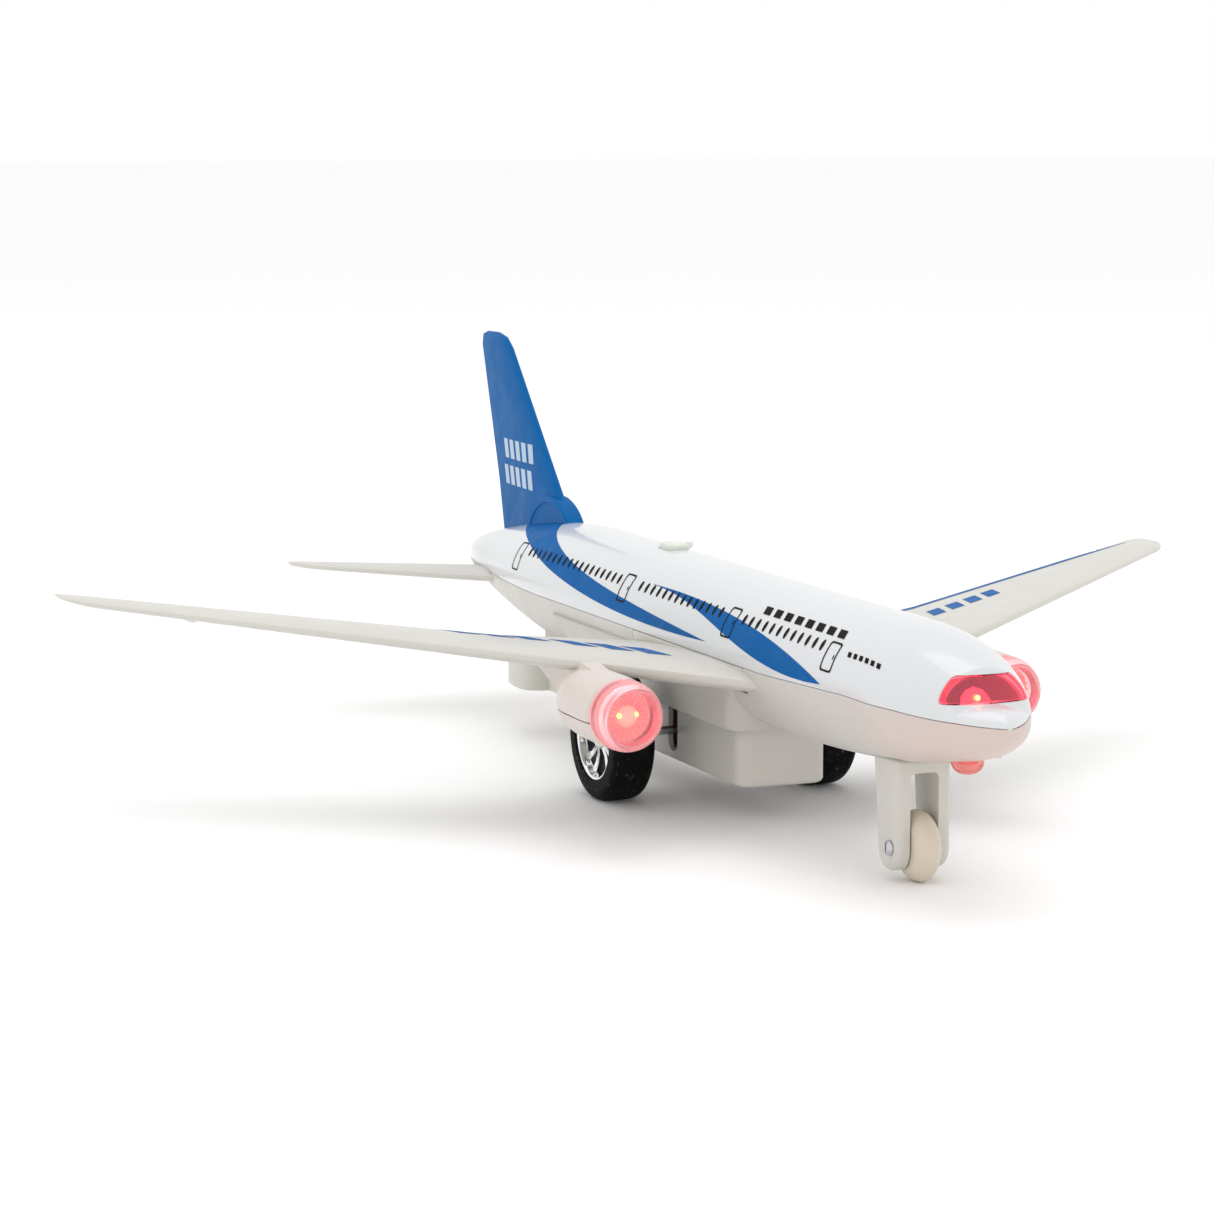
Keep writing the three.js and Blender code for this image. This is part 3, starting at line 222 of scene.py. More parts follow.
def bevel(piece, width, angle=40, segments=3):
    step = piece.modifiers.new("edges", "BEVEL")
    step.width = width * MM
    step.segments = segments
    step.limit_method = "ANGLE"
    step.angle_limit = math.radians(angle)
    settle(piece)


def merge(name, pieces):
    """One piece out of several, their meshes side by side."""
    shape = bmesh.new()
    for piece in pieces:
        shape.from_mesh(piece.data)
        bpy.data.objects.remove(piece)
    mesh = bpy.data.meshes.new(name)
    shape.to_mesh(mesh)
    shape.free()
    result = bpy.data.objects.new(name, mesh)
    scene.collection.objects.link(result)
    return result


def place(piece, material, body="airframe", stands_for=(), crease=32):
    """Shades a finished piece smooth, gives it its material and hangs it on its body."""
    piece.data.materials.clear()
    piece.data.materials.append(material)
    piece.data.shade_smooth()
    piece.data.set_sharp_from_angle(angle=math.radians(crease))
    if len(piece.data.polygons) > 40:
        step = piece.modifiers.new("normals", "WEIGHTED_NORMAL")
        step.keep_sharp = True
        settle(piece)
    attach(piece, body)
    if stands_for:
        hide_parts(*stands_for)
    return piece


# ------------------------------------------------------------ body form
def nose_top(s):
    """Height of the body's top line ahead of the wing: radome, windshield step and crown."""
    radome = 4.9 * math.sqrt(rounding((s - NOSE) / 10))
    windshield = 6.3 * smoothstep(s, -133.9, -130.6)
    crown = 6.2 * rounding((s + 132) / 30)
    return 36.6 + radome + windshield + crown


def section(s):
    """Half width, top, bottom and middle height of the body at a station."""
    if s > 70:
        t = min((s - 70) / 87, 1)
        end = math.sqrt(max(1 - max((s - 151.5) / 5.5, 0) ** 2, 0.0004))
        top = 54 - 11.6 * t**1.6
        bottom = 22 + 11.2 * t**1.25
        middle = (top + bottom) / 2
        half = lerp(BODY_R, 4.6, t**1.7)
        return half * end, middle + (top - middle) * end, middle + (bottom - middle) * end, middle
    chin = clamp((-60 - s) / 82)
    half = BODY_R * rounding((s - NOSE) / 33) ** 0.71
    bottom = 36.6 - 14.6 * math.sqrt(1 - chin**1.6)
    return half, nose_top(s), bottom, lerp(36.6, 38, clamp((s - NOSE) / 33))


def skin(s, angle, lift=0.0):
    """A point on the body; the angle is 0 to port and 90 degrees on top."""
    half, top, bottom, middle = section(s)
    reach = top - middle if math.sin(angle) > 0 else middle - bottom
    x = max(half + lift, 0.02) * math.cos(angle)
    return at(x, s, middle + max(reach + lift, 0.02) * math.sin(angle))


def angle_at(s, z):
    """The skin angle, on the port side, where the body reaches height z."""
    _, top, bottom, middle = section(s)
    reach = max(top - middle if z > middle else middle - bottom, 0.05)
    return math.asin(clamp((z - middle) / reach, -0.97, 0.97))


def stations(first, last):
    """Ring stations, closer together at the nose, the windshield and the tail."""
    marks = [NOSE + 34 * (i / 34) ** 2 for i in range(34)]
    marks += [-134.5 + 0.3 * i for i in range(16)]
    marks += [-108 + 4 * i for i in range(65)]
    marks += [153 + 0.4 * i for i in range(10)]
    return [first] + sorted(s for s in marks if first + 0.05 < s < last - 0.05) + [last]


def body_wall(name, first, last, low, high, columns, wall=WALL, lift=0.0):
    """A closed part of the body's wall, between two angles given at each station."""
    rings = []
    for s in stations(first, last):
        inner_s = clamp(s, NOSE + wall + 0.9, TAIL - wall - 0.9)
        angles = [lerp(low(s), high(s), i / columns) for i in range(columns + 1)]
        lifts = [lift - (0.12 if i in (0, columns) else 0.0) for i in range(columns + 1)]
        outside = [skin(s, a, up) for a, up in zip(angles, lifts)]
        inside = [skin(inner_s, a, lift - wall) for a in reversed(angles)]
        rings.append(outside + inside)
    return loft(name, rings)


# ------------------------------------------------------------ materials
def principled(material):
    return material.node_tree.nodes["Principled BSDF"]


def link(material, source, target):
    material.node_tree.links.new(source, target)


def shader(name, colour, roughness, **inputs):
    """A plain material; further inputs are socket names with _ for a space."""
    material = bpy.data.materials.new(name)
    material.use_nodes = True
    node = principled(material)
    node.inputs["Base Color"].default_value = (*colour, 1)
    node.inputs["Roughness"].default_value = roughness
    for key, value in inputs.items():
        node.inputs[key.replace("_", " ")].default_value = value
    return material


def add_node(material, kind, **settings):
    """A new node; a setting is a socket's value, or else a property of the node."""
    node = material.node_tree.nodes.new(kind)
    for key, value in settings.items():
        if key in node.inputs:
            node.inputs[key].default_value = value
        else:
            setattr(node, key, value)
    return node


def pattern(material, scale, detail=3.0):
    """Noise in the piece's own space, so it stays put in every view."""
    where = add_node(material, "ShaderNodeTexCoord")
    noise = add_node(material, "ShaderNodeTexNoise", Scale=scale, Detail=detail)
    link(material, where.outputs["Object"], noise.inputs["Vector"])
    return noise.outputs["Fac"]


def spread(material, source, low, high):
    """Maps a pattern to a narrow band of values."""
    node = add_node(material, "ShaderNodeMapRange")
    node.inputs["From Min"].default_value = 0.3
    node.inputs["From Max"].default_value = 0.7
    node.inputs["To Min"].default_value = low
    node.inputs["To Max"].default_value = high
    link(material, source, node.inputs["Value"])
    return node.outputs["Result"]


def tint(material, source, colour, other):
    """Colours that drift between two close shades."""
    node = add_node(material, "ShaderNodeMix", data_type="RGBA")
    node.inputs[MIX_FIRST].default_value = (*colour, 1)
    node.inputs[MIX_SECOND].default_value = (*other, 1)
    link(material, spread(material, source, 0, 1), node.inputs[MIX_FACTOR])
    link(material, node.outputs[MIX_RESULT], principled(material).inputs["Base Color"])


def texture_bump(material, source, depth):
    """Fine relief from a pattern, its depth in millimetres."""
    node = add_node(material, "ShaderNodeBump")
    node.inputs["Strength"].default_value = 0.6
    node.inputs["Distance"].default_value = depth * MM
    link(material, source, node.inputs["Height"])
    link(material, node.outputs["Normal"], principled(material).inputs["Normal"])


def moulded(name, colour, roughness, grain=0.02, drift=0.04, **inputs):
    """Injection-moulded plastic: a slow drift of shade, uneven gloss and a fine skin texture."""
    material = shader(name, colour, roughness, **inputs)
    tint(material, pattern(material, 38), colour, tuple(c * (1 - drift) for c in colour))
    gloss = spread(material, pattern(material, 160), roughness * 0.85, roughness * 1.2)
    link(material, gloss, principled(material).inputs["Roughness"])
    texture_bump(material, pattern(material, 2600, 2.0), grain)
    return material


def blush(material, centre, reach, colour, strength):
    """Light that seeps through a wall near a lamp: it fades with distance from a point in the frame."""
    where = add_node(material, "ShaderNodeTexCoord")
    away = add_node(material, "ShaderNodeVectorMath", operation="DISTANCE")
    away.inputs[1].default_value = centre
    link(material, where.outputs["Object"], away.inputs[0])
    fade = add_node(material, "ShaderNodeMapRange", interpolation_type="SMOOTHSTEP")
    fade.inputs["From Max"].default_value = reach * MM
    fade.inputs["To Min"].default_value = strength
    fade.inputs["To Max"].default_value = 0.0
    link(material, away.outputs["Value"], fade.inputs["Value"])
    base = principled(material).inputs["Base Color"]
    mix = add_node(material, "ShaderNodeMix", data_type="RGBA")
    link(material, base.links[0].from_socket, mix.inputs[MIX_FIRST])
    mix.inputs[MIX_SECOND].default_value = (*colour, 1)
    link(material, fade.outputs["Result"], mix.inputs[MIX_FACTOR])
    link(material, mix.outputs[MIX_RESULT], base)


def metal(name, colour, roughness):
    """Bare or plated metal with faint scratches in its gloss."""
    material = shader(name, colour, roughness, Metallic=1.0)
    gloss = spread(material, pattern(material, 900), roughness * 0.7, roughness * 1.4)
    link(material, gloss, principled(material).inputs["Roughness"])
    texture_bump(material, pattern(material, 1500, 4.0), 0.008)
    return material


def tread_rubber():
    """Black rubber with fine rings round the tread and pale dust specks."""
    black = (0.004, 0.004, 0.004)
    material = shader("tyre_rubber", black, 0.6, Specular_IOR_Level=0.08)
    dust = add_node(material, "ShaderNodeMapRange")
    dust.inputs["From Min"].default_value = 0.66
    dust.inputs["From Max"].default_value = 0.74
    dust.inputs["To Max"].default_value = 0.35
    link(material, pattern(material, 900, 1.0), dust.inputs["Value"])
    blend = add_node(material, "ShaderNodeMix", data_type="RGBA")
    blend.inputs[MIX_FIRST].default_value = (*black, 1)
    blend.inputs[MIX_SECOND].default_value = (0.16, 0.16, 0.15, 1)
    link(material, dust.outputs["Result"], blend.inputs[MIX_FACTOR])
    link(material, blend.outputs[MIX_RESULT], principled(material).inputs["Base Color"])
    rings = add_node(material, "ShaderNodeTexWave", Scale=420.0)
    rings.bands_direction = "X"
    where = add_node(material, "ShaderNodeTexCoord")
    link(material, where.outputs["Object"], rings.inputs["Vector"])
    texture_bump(material, rings.outputs["Fac"], 0.09)
    return material


def glowing_plastic(name, colour, transmission, glow, strength):
    """Clear tinted plastic lit from inside."""
    material = shader(name, colour, 0.06)
    principled(material).inputs["Transmission Weight"].default_value = transmission
    principled(material).inputs["IOR"].default_value = 1.49
    texture_bump(material, pattern(material, 240, 1.0), 0.015)
    principled(material).inputs["Emission Color"].default_value = (*glow, 1)
    principled(material).inputs["Emission Strength"].default_value = strength
    return material


UPPER_WHITE = moulded("upper_shell_gloss_white", (0.67, 0.685, 0.70), 0.22, 0.006, 0.015, Coat_Weight=0.5)
WARM_WHITE = moulded("warm_white_plastic", (0.63, 0.61, 0.56), 0.38)
LOWER_WHITE = moulded("lower_shell_plastic", (0.61, 0.585, 0.545), 0.38)
blush(LOWER_WHITE, at(0, -131, 30), 42, (0.70, 0.44, 0.38), 0.45)
BUTTON_WHITE = moulded("button_plastic", (0.70, 0.74, 0.66), 0.32)
BLUE = moulded("fin_blue_plastic", (0.001, 0.115, 0.36), 0.45, 0.03, Specular_IOR_Level=0.07)
MILKY = moulded("milky_nacelle_plastic", (0.70, 0.62, 0.58), 0.34)
CREAM = moulded("cream_nylon", (0.68, 0.60, 0.48), 0.36)
BLACK_PLASTIC = moulded("black_plastic", (0.02, 0.02, 0.022), 0.42)
AMBER = moulded("amber_nylon", (0.50, 0.27, 0.09), 0.4)
BOARD = moulded("board_green", (0.03, 0.16, 0.05), 0.4)
PAPER = moulded("speaker_paper", (0.045, 0.04, 0.035), 0.85, 0.06)
WIRE_BLACK = moulded("wire_insulation", (0.02, 0.02, 0.02), 0.45)
CHROME = metal("chrome_plate", (0.86, 0.87, 0.89), 0.07)
STEEL = metal("bright_steel", (0.58, 0.58, 0.59), 0.26)
CELL_STEEL = metal("cell_steel", (0.66, 0.66, 0.66), 0.2)
BRASS = metal("contact_brass", (0.72, 0.52, 0.22), 0.28)
RUBBER = tread_rubber()
WINDOW_RED = glowing_plastic("clear_red_window", (1.0, 0.28, 0.36), 0.96, (1.0, 0.06, 0.14), 0.15)
LENS_PINK = glowing_plastic("clear_pink_lens", (1.0, 0.66, 0.69), 0.9, (1.0, 0.30, 0.34), 0.09)
DISC_PINK = glowing_plastic("lens_disc_pink", (1.0, 0.66, 0.64), 0.45, (1.0, 0.40, 0.38), 0.16)
HUB_PINK = glowing_plastic("lens_hub_pink", (1.0, 0.55, 0.52), 0.7, (1.0, 0.36, 0.30), 0.38)
# Emission for beads that are painted hot spots of the lamps' light, not lamps themselves.
HOT_SPOT = glowing_plastic("lens_hot_spot", (1.0, 0.75, 0.35), 0.4, (1.0, 0.62, 0.20), 1.3)
DOME_RED = glowing_plastic("clear_red_dome", (0.88, 0.36, 0.33), 0.75, (1.0, 0.10, 0.08), 0.05)
LED_CLEAR = glowing_plastic("led_red_glow", (1.0, 0.35, 0.30), 0.7, (1.0, 0.10, 0.14), 1.4)
PRINT_BLACK = moulded("black_print", (0.003, 0.003, 0.004), 0.45, 0.004, Specular_IOR_Level=0.05)
PRINT_BLUE = moulded("blue_print", (0.001, 0.11, 0.36), 0.45, 0.004, Specular_IOR_Level=0.05)
PRINT_PALE = moulded("pale_print", (0.42, 0.56, 0.72), 0.35, 0.004)


# ------------------------------------------------------------ shells
def seam_angle(s, drop=0.0):
    """The skin angle of the line where the two shells meet, or of a line a drop below it."""
    return angle_at(s, along(SEAM, s) - drop)


def starboard(angle):
    """The mirror image of a port side skin angle."""
    return math.pi - angle


def make_upper_shell():
    shell = body_wall("upper_shell", NOSE, TAIL, seam_angle, lambda s: starboard(seam_angle(s)), 110)
    band = soften([(-165, 41.5), (-130.3, 41.5), (-129.5, 47), (-165, 47)], 1.0, closed=True)
    cut(shell, prism("window_opening", "x", band, -30, 30))
    half = 2.9
    well = rectangle(-half, half, BUTTON_STATION - 4.5, BUTTON_STATION + 4.5)
    cut(shell, prism("button_well", "z", soften(well, half * 0.9, closed=True), 48, 60))
    for s in (-84, 118):
        _, top, bottom, _ = section(s)
        join(shell, rod("screw_post", "z", (0, s), 3, bottom + 8, top - 0.6))
        cut(shell, rod("screw_hole", "z", (0, s), 1.5, bottom + 7, bottom + 17))
    for s in (-8, 44):
        join(shell, rod("board_post", "z", (0, s), 2.4, 43.5, 53))
    place(shell, UPPER_WHITE, stands_for=["fuselage_upper_shell"])


def flared_fairing(inset, name):
    """The fairing over the tub, which spreads as it runs up into the body."""
    rings = []
    for i in range(13):
        t = i / 12
        flare = 3.0 * t**2.4
        half = 13.7 + flare - inset
        front = -41.4 - 2.2 * flare + inset
        rear = 58 + 2.2 * flare - inset
        outline = soften(rectangle(-half, half, front, rear), 5 - inset, closed=True)
        z = 21.5 - inset + 12.5 * t
        rings.append([at(x, s, z) for x, s in outline])
    return loft(name, rings)


def make_lower_shell():
    shell = body_wall(
        "lower_shell", NOSE, TAIL,
        lambda s: starboard(seam_angle(s, SEAM_GAP)), lambda s: TAU + seam_angle(s, SEAM_GAP), 110,
    )
    join(shell, flared_fairing(0, "fairing"), block("neck", -8.4, 8.4, 52, 90, 21.5, 27, 3))
    cut(shell, flared_fairing(WALL, "fairing_room"))
    for side in (1, -1):
        x0 = 5 if side > 0 else -30
        cut(shell, block("root_window", x0, x0 + 25, -51.5, 11, 31.6, 40))
    for s in (-84, 118):
        floor = section(s)[2]
        join(shell, rod("screw_boss", "z", (0, s), 3.4, floor + 0.6, floor + 7.6))
        cut(shell, rod("counterbore", "z", (0, s), 2.6, floor - 6, floor + 4))
        cut(shell, rod("screw_way", "z", (0, s), 1.5, floor + 3, floor + 9))
    join(shell, block("led_rib", -4.5, 4.5, -130.1, -129, 30, 40.9))
    cut(shell, rod("led_way", "y", (0, 40.8), 2.8, -134, -120))
    cut(shell, block("fork_socket", -6.6, 6.6, -106.6, -94.5, 15, 31, 1.2))
    cut(shell, rod("dome_way", "z", (0, DOME_STATION), 3.6, 20, 33))
    place(shell, LOWER_WHITE, stands_for=["fuselage_lower_shell"])


def make_window():
    pane = body_wall(
        "window_pane", NOSE, -128, lambda s: angle_at(s, 40), lambda s: starboard(angle_at(s, 40)), 110, 1.2,
    )
    band = soften([(-165, 41.75), (-130.5, 41.75), (-129.8, 46.75), (-165, 46.75)], 0.9, closed=True)
    combine(pane, prism("band", "x", band, -30, 30), "INTERSECT")
    place(pane, WINDOW_RED, stands_for=["cockpit_window"])
    # A glowing bead inside the window: a painted hot spot of the lamp's light, not a lamp itself.
    bead = [(-133.2, 0), (-133.1, 0.4), (-132.7, 0.65), (-131.6, 0.7), (-131.2, 0)]
    painted_hot_spot = turned("cockpit_painted_hot_spot", "y", (-2.4, 42.6), soften(bead, 0.2), 24)
    place(painted_hot_spot, HOT_SPOT)


# ------------------------------------------------------------ wings and tail
def foil_shape(u):
    """A foil's height as a share of its thickness, from nose (0) to rear edge (1)."""
    return 2.6 * math.sqrt(u) * (1 - u) + 0.16


def foil(span_at, front, rear, thickness, points=22):
    """A blunt-nosed section; span_at turns a chordwise place and a height into a point."""
    line = []
    for way in (1, -1):
        order = range(points + 1) if way > 0 else range(points, -1, -1)
        for i in order:
            u = (1 - math.cos(math.pi * i / points)) / 2
            line.append(span_at(lerp(front, rear, u), way * (thickness / 2 * foil_shape(u))))
    return line


def wing_z(x):
    return 34.4 + 0.098 * (x - 16)


def wing_front(x):
    return -57 + 0.735 * (x - 16)


def wing_rear(x):
    return 9.5 + 0.485 * max(x - 54, 0)


def wing_section(side, x):
    t = clamp((x - 16) / 126.5)
    tip = clamp((x - 136.5) / 6)
    thickness = lerp(5, 1.5, t) * math.sqrt(max(1 - tip**2, 0.1))
    front = wing_front(x) + 5 * tip**2
    rear = wing_rear(x) - 1.2 * tip**2
    return foil(lambda s, up: at(side * x, s, wing_z(x) + up), front, rear, thickness)


def flap_track(side, x):
    rear = wing_rear(x) + 1.5
    shape = [(-17, 0), (-16, 0.5), (-14, 1.05), (-11, 1.35), (-8, 1.4), (-5, 1.15), (-2, 0.6), (0, 0)]
    profile = [(rear + d, r) for d, r in soften(shape, 2)]
    return turned("flap_track", "y", (side * x, wing_z(x) - 1.2), profile, 32)


def root_foot(s):
    return angle_at(s, 31.9)


def root_plate(side):
    """The plate at the wing's root, which lies in the body's side below the seam."""
    if side > 0:
        return body_wall("root_plate", -51.2, 10.7, root_foot, lambda s: seam_angle(s, 0.2), 14, 2.6, 0.05)
    return body_wall(
        "root_plate", -51.2, 10.7,
        lambda s: starboard(seam_angle(s, 0.2)), lambda s: starboard(root_foot(s)), 14, 2.6, 0.05,
    )


def make_wing(name, side):
    spans = [15.4 + 3 * i for i in range(41)] + [136.5, 138.5, 140, 141.2, 142, 142.5]
    wing = loft("wing", [wing_section(side, x) for x in spans])
    join(wing, root_plate(side))
    for x in (71.5, 94.5, 116):
        join(wing, flap_track(side, x))
    notch_rear = wing_rear(125)
    cut(wing, block("notch", side * 125 - 1, side * 125 + 1, notch_rear - 1.6, 60, 30, 60))
    wing.name = f"wing_panel_{name}"
    place(wing, WARM_WHITE, stands_for=[f"wing_{name}"])


def table_row(table, t):
    """Front, rear and thickness at t, from rows of (t, front, rear, thickness)."""
    return [along([(row[0], row[k]) for row in table], t) for k in (1, 2, 3)]


def make_stabiliser(name, side):
    table = [
        (4, 114, 146, 3), (24, 124, 147.5, 2.6), (50, 137.5, 150, 1.7), (55, 141, 150.5, 1.4),
        (57.5, 145.5, 150, 0.9),
    ]
    rings = []
    for x in [4 + 2 * i for i in range(24)] + [52, 54, 55.5, 56.6, 57.2, 57.5]:
        z = 35.6 + 0.055 * (x - 8)
        rings.append(foil(lambda s, up: at(side * x, s, z + up), *table_row(table, x)))
    panel = loft(f"stabiliser_panel_{name}", rings)
    place(panel, WARM_WHITE, stands_for=[f"stabiliser_{name}"])


# Rows of height, front and rear station, and thickness.
FIN_TABLE = [
    (44, 82, 139, 3.6), (60, 98.5, 143.5, 3.2), (94.5, 133.5, 156.4, 2), (97.2, 137.5, 155.8, 1.4),
    (98.2, 143, 152, 0.9),
]


def make_fin():
    """The fin and the half-round boss at its foot."""
    rings = []
    for z in [45 + 2 * i for i in range(25)] + [94.5, 95.5, 96.4, 97.2, 97.8, 98.2]:
        rings.append(foil(lambda s, up: at(up, s, z), *table_row(FIN_TABLE, z)))
    fin = loft("fin_panel", rings)
    half_boss = [(-2.2, 0), (-2.2, 16.6), (-2.5, 17), (-2.5, 18), (-2, 18.5)]
    boss = half_boss + [(-x, r) for x, r in reversed(half_boss)]
    join(fin, turned("boss", "x", (101, 40), boss, 120))
    cut(fin, block("below", -10, 10, 60, 170, 0, 46))
    place(fin, BLUE, stands_for=["tail_fin"])


# ------------------------------------------------------------ engines
ENGINE_X = 45.1
ENGINE_Z = 29.6
INTAKE = -61.5
NACELLE_SEAM = 28.0
VANES = 24


def engine_line(pairs):
    """A profile given from the intake's plane, turned into stations."""
    return [(INTAKE + d, r) for d, r in pairs]


def make_engine(name, side):
    """A nacelle in two halves, its pylon moulded with the upper one."""
    centre = (side * ENGINE_X, ENGINE_Z)
    outline = [(7, 0), (7, 7.7), (12, 7.9), (24, 7.7), (28, 6.9), (32, 5), (34.5, 2.8), (35.5, 0)]
    bore = [(-2, 0), (-2, 6.5), (22, 6.5), (27, 4.5), (31, 2), (31, 0)]
    for part, z0, z1 in (("upper", NACELLE_SEAM + 0.15, 60), ("lower", 0, NACELLE_SEAM - 0.15)):
        shell = turned("nacelle", "y", centre, engine_line(soften(outline, 2.5)))
        if part == "upper":
            join(shell, make_pylon(side))
        room = block("half", side * ENGINE_X - 15, side * ENGINE_X + 15, -80, 10, z0, z1)
        combine(shell, room, "INTERSECT")
        cut(shell, turned("bore", "y", centre, engine_line(bore)))
        shell.name = f"nacelle_{part}_{name}"
        place(shell, MILKY, stands_for=[f"nacelle_{name}_{part}"])


def make_pylon(side):
    outline = soften(
        [(-53, 33), (-47, 36.2), (-38, 38), (-30, 38), (-10, 35.6), (-4, 35), (-20, 30), (-48, 30)],
        3, closed=True,
    )
    pylon = prism("pylon", "x", outline, side * ENGINE_X - 1.9, side * ENGINE_X + 1.9)
    bevel(pylon, 0.7)
    return pylon


def hot_spot(centre, angle):
    """A small glowing bead inside the hub: a painted hot spot of a lamp's light, not a lamp itself."""
    x = centre[0] + 1.9 * math.cos(angle)
    z = centre[1] + 1.9 * math.sin(angle)
    bead = [(3.3, 0), (3.4, 0.35), (3.7, 0.55), (4.4, 0.6), (4.6, 0)]
    return turned("spot", "y", (x, z), engine_line(soften(bead, 0.2)), 20)


def make_lens(name, side):
    """Clear intake: a rounded lip, a ring of vanes inside it, a disc and a domed hub."""
    centre = (side * ENGINE_X, ENGINE_Z)
    lip = [
        (6, 5.2), (4.6, 5.3), (1.4, 5.5), (0.6, 5.7), (0, 6.1), (0.5, 6.6), (1.4, 7.0), (2.8, 7.45),
        (4.6, 7.68), (6.7, 7.7), (6.7, 6.2), (10, 6.2), (10, 5.2),
    ]
    wall = turned("lip", "y", centre, engine_line(soften(lip, 0.35, closed=True)), 96, True)
    vanes = [vane(centre, TAU * i / VANES) for i in range(VANES)]
    lens = merge(f"intake_lens_{name}", [wall] + vanes)
    place(lens, LENS_PINK, stands_for=[f"engine_lens_{name}"])
    plate = engine_line([(4.75, 0), (4.75, 5.4), (6, 5.4), (6, 0)])
    place(turned(f"intake_disc_{name}", "y", centre, plate, 96), DISC_PINK)
    dome = engine_line(soften([(4.9, 0), (4.9, 2.3), (4.2, 2.25), (3.5, 1.75), (3.1, 1.0), (3.0, 0)], 0.5))
    place(turned(f"intake_hub_{name}", "y", centre, dome, 48), HUB_PINK)
    # Two painted hot spots glow in each hub.
    spots = [hot_spot(centre, angle) for angle in (0.2, 3.0)]
    place(merge(f"intake_hot_spots_{name}", spots), HOT_SPOT)


def vane(centre, angle):
    """One radial fan blade, pitched like a propeller's."""
    rings = []
    for radius in (2.5, 3.1, 3.8, 4.5, 5.1):
        half = 0.12 + 0.055 * (radius - 2.5)
        ring = []
        for d, across in ((3.9, -half), (3.8, 0), (4.0, half), (4.8, half * 1.6), (4.8, -half * 0.4)):
            x = centre[0] + radius * math.cos(angle) - across * math.sin(angle)
            z = centre[1] + radius * math.sin(angle) + across * math.cos(angle)
            ring.append(at(x, INTAKE + d, z))
        rings.append(ring)
    return loft("vane", rings)


# ------------------------------------------------------------ wheels and nose gear
SPOKES = 5
WHEEL_Z = 15


def wheel_ring(name, side, pairs, corner, segments, closed=False):
    """A turned piece of a main wheel, from (distance off the centre line, radius) pairs."""
    profile = [(side * x, r) for x, r in soften(pairs, corner, closed)]
    return turned(name, "x", (0, WHEEL_Z), profile, segments, closed)


def spoke(side, angle):
    """One of a rim's split spokes, its face dished a little."""
    bars = []
    for lean in (-1, 1):
        rings = []
        for radius, half, x in ((2.6, 0.5, 28.6), (5, 0.55, 28.1), (7.5, 0.7, 28.1), (9.5, 1.0, 28.7)):
            centre = angle + lean * (0.13 + 0.012 * radius)
            face = [
                (-half, 1.5), (-half, 0.25), (-half * 0.6, 0), (half * 0.6, 0), (half, 0.25), (half, 1.5),
            ]
            ring = []
            for across, depth in face:
                y = radius * math.cos(centre) - across * math.sin(centre)
                z = radius * math.sin(centre) + across * math.cos(centre)
                ring.append(at(side * (x - depth), y, WHEEL_Z + z))
            rings.append(ring)
        bars.append(loft("spoke_bar", rings))
    return bars


def make_wheel(name, side):
    """A chromed rim, a black disc behind its spokes, and the tyre; the disc stands for the rim's closed back
    and its black is painted shade.
    """
    barrel = [(21.4, 9.2), (21.4, 10.35), (30, 10.35), (30.2, 10.1), (30, 9.7), (29, 9.45), (28.2, 9.2)]
    hub = [
        (20.9, 0), (20.9, 2.4), (27.4, 3.4), (28.8, 3.1), (29.5, 2.2), (29.5, 1.0), (29.2, 0.8), (29.2, 0),
    ]
    # A black disc behind the spokes: painted shade where the rim's hollow falls dark, standing for the rim's
    # closed back.
    back = [(24.6, 0), (24.6, 9.4), (25.2, 9.4), (25.4, 0)]
    plate = wheel_ring(f"wheel_painted_shade_disc_{name}", side, back, 0.3, 64)
    pieces = [wheel_ring("barrel", side, barrel, 0.3, 96, True), wheel_ring("hub", side, hub, 0.35, 48)]
    for i in range(SPOKES):
        pieces += spoke(side, TAU * i / SPOKES + 0.3)
    rim = merge(f"wheel_rim_{name}", pieces)
    place(rim, CHROME, "wheel_axle", [f"rim_{name}"])
    place(plate, BLACK_PLASTIC, "wheel_axle")
    outline = [
        (20.4, 10.4), (20.4, 13.4), (20.9, 14.4), (22, 15), (29, 15), (30.1, 14.4), (30.6, 13.4),
        (30.6, 10.4),
    ]
    tyre = wheel_ring(f"wheel_tyre_{name}", side, outline, 0.7, 120, True)
    place(tyre, RUBBER, "wheel_axle", [f"tyre_{name}"])


def make_fork():
    """The nose wheel's fork, its foot rounded about the pin."""
    arc = [math.pi * i / 20 for i in range(21)]
    foot = [(-106.3, 26.5)] + [(-101.75 - 4.55 * math.cos(a), 6.95 - 4.55 * math.sin(a)) for a in arc]
    fork = prism("fork", "x", foot + [(-94.8, 26.5)], -6.3, 6.3)
    bevel(fork, 1.5, 40, 6)
    join(fork, block("neck", -5.8, 5.8, -105.3, -98.2, 26, 30))
    join(fork, block("head", -7.8, 7.8, -107.5, -93.6, 29.4, 31))
    gap = [(-3.2, -2), (3.2, -2), (3.2, 23), (-3.2, 23)]
    cut(fork, prism("gap", "y", soften(gap, 1.4, closed=True), -112, -88))
    cut(fork, rod("pin_way", "x", FORK_CENTRE, 1.3, -10, 10))
    place(fork, WARM_WHITE, stands_for=["nose_fork"])


def make_nose_gear():
    make_fork()
    tread = [
        (-2.9, 1.3), (-2.9, 4.9), (-2.2, 6.3), (-1.2, 7.2), (0, 7.5), (1.2, 7.2), (2.2, 6.3), (2.9, 4.9),
        (2.9, 1.3),
    ]
    wheel = turned("nose_wheel_roller", "x", FORK_CENTRE, soften(tread, 0.6, closed=True), 72, True)
    place(wheel, CREAM, "nose_wheel", ["nose_wheel"])
    pin = [
        (-7.3, 0), (-7.3, 0.8), (-7.1, 1.3), (-6.7, 1.6), (-6.4, 1.6), (-6.4, 1), (6.4, 1), (6.4, 1.6),
        (6.6, 1), (6.6, 0),
    ]
    axle = turned("nose_axle_pin", "x", FORK_CENTRE, soften(pin, 0.15), 40)
    cut(axle, block("driver_slot", -8, -6.95, -103.7, -103.3, 6.2, 8.8))
    place(axle, STEEL, stands_for=["nose_pin"])


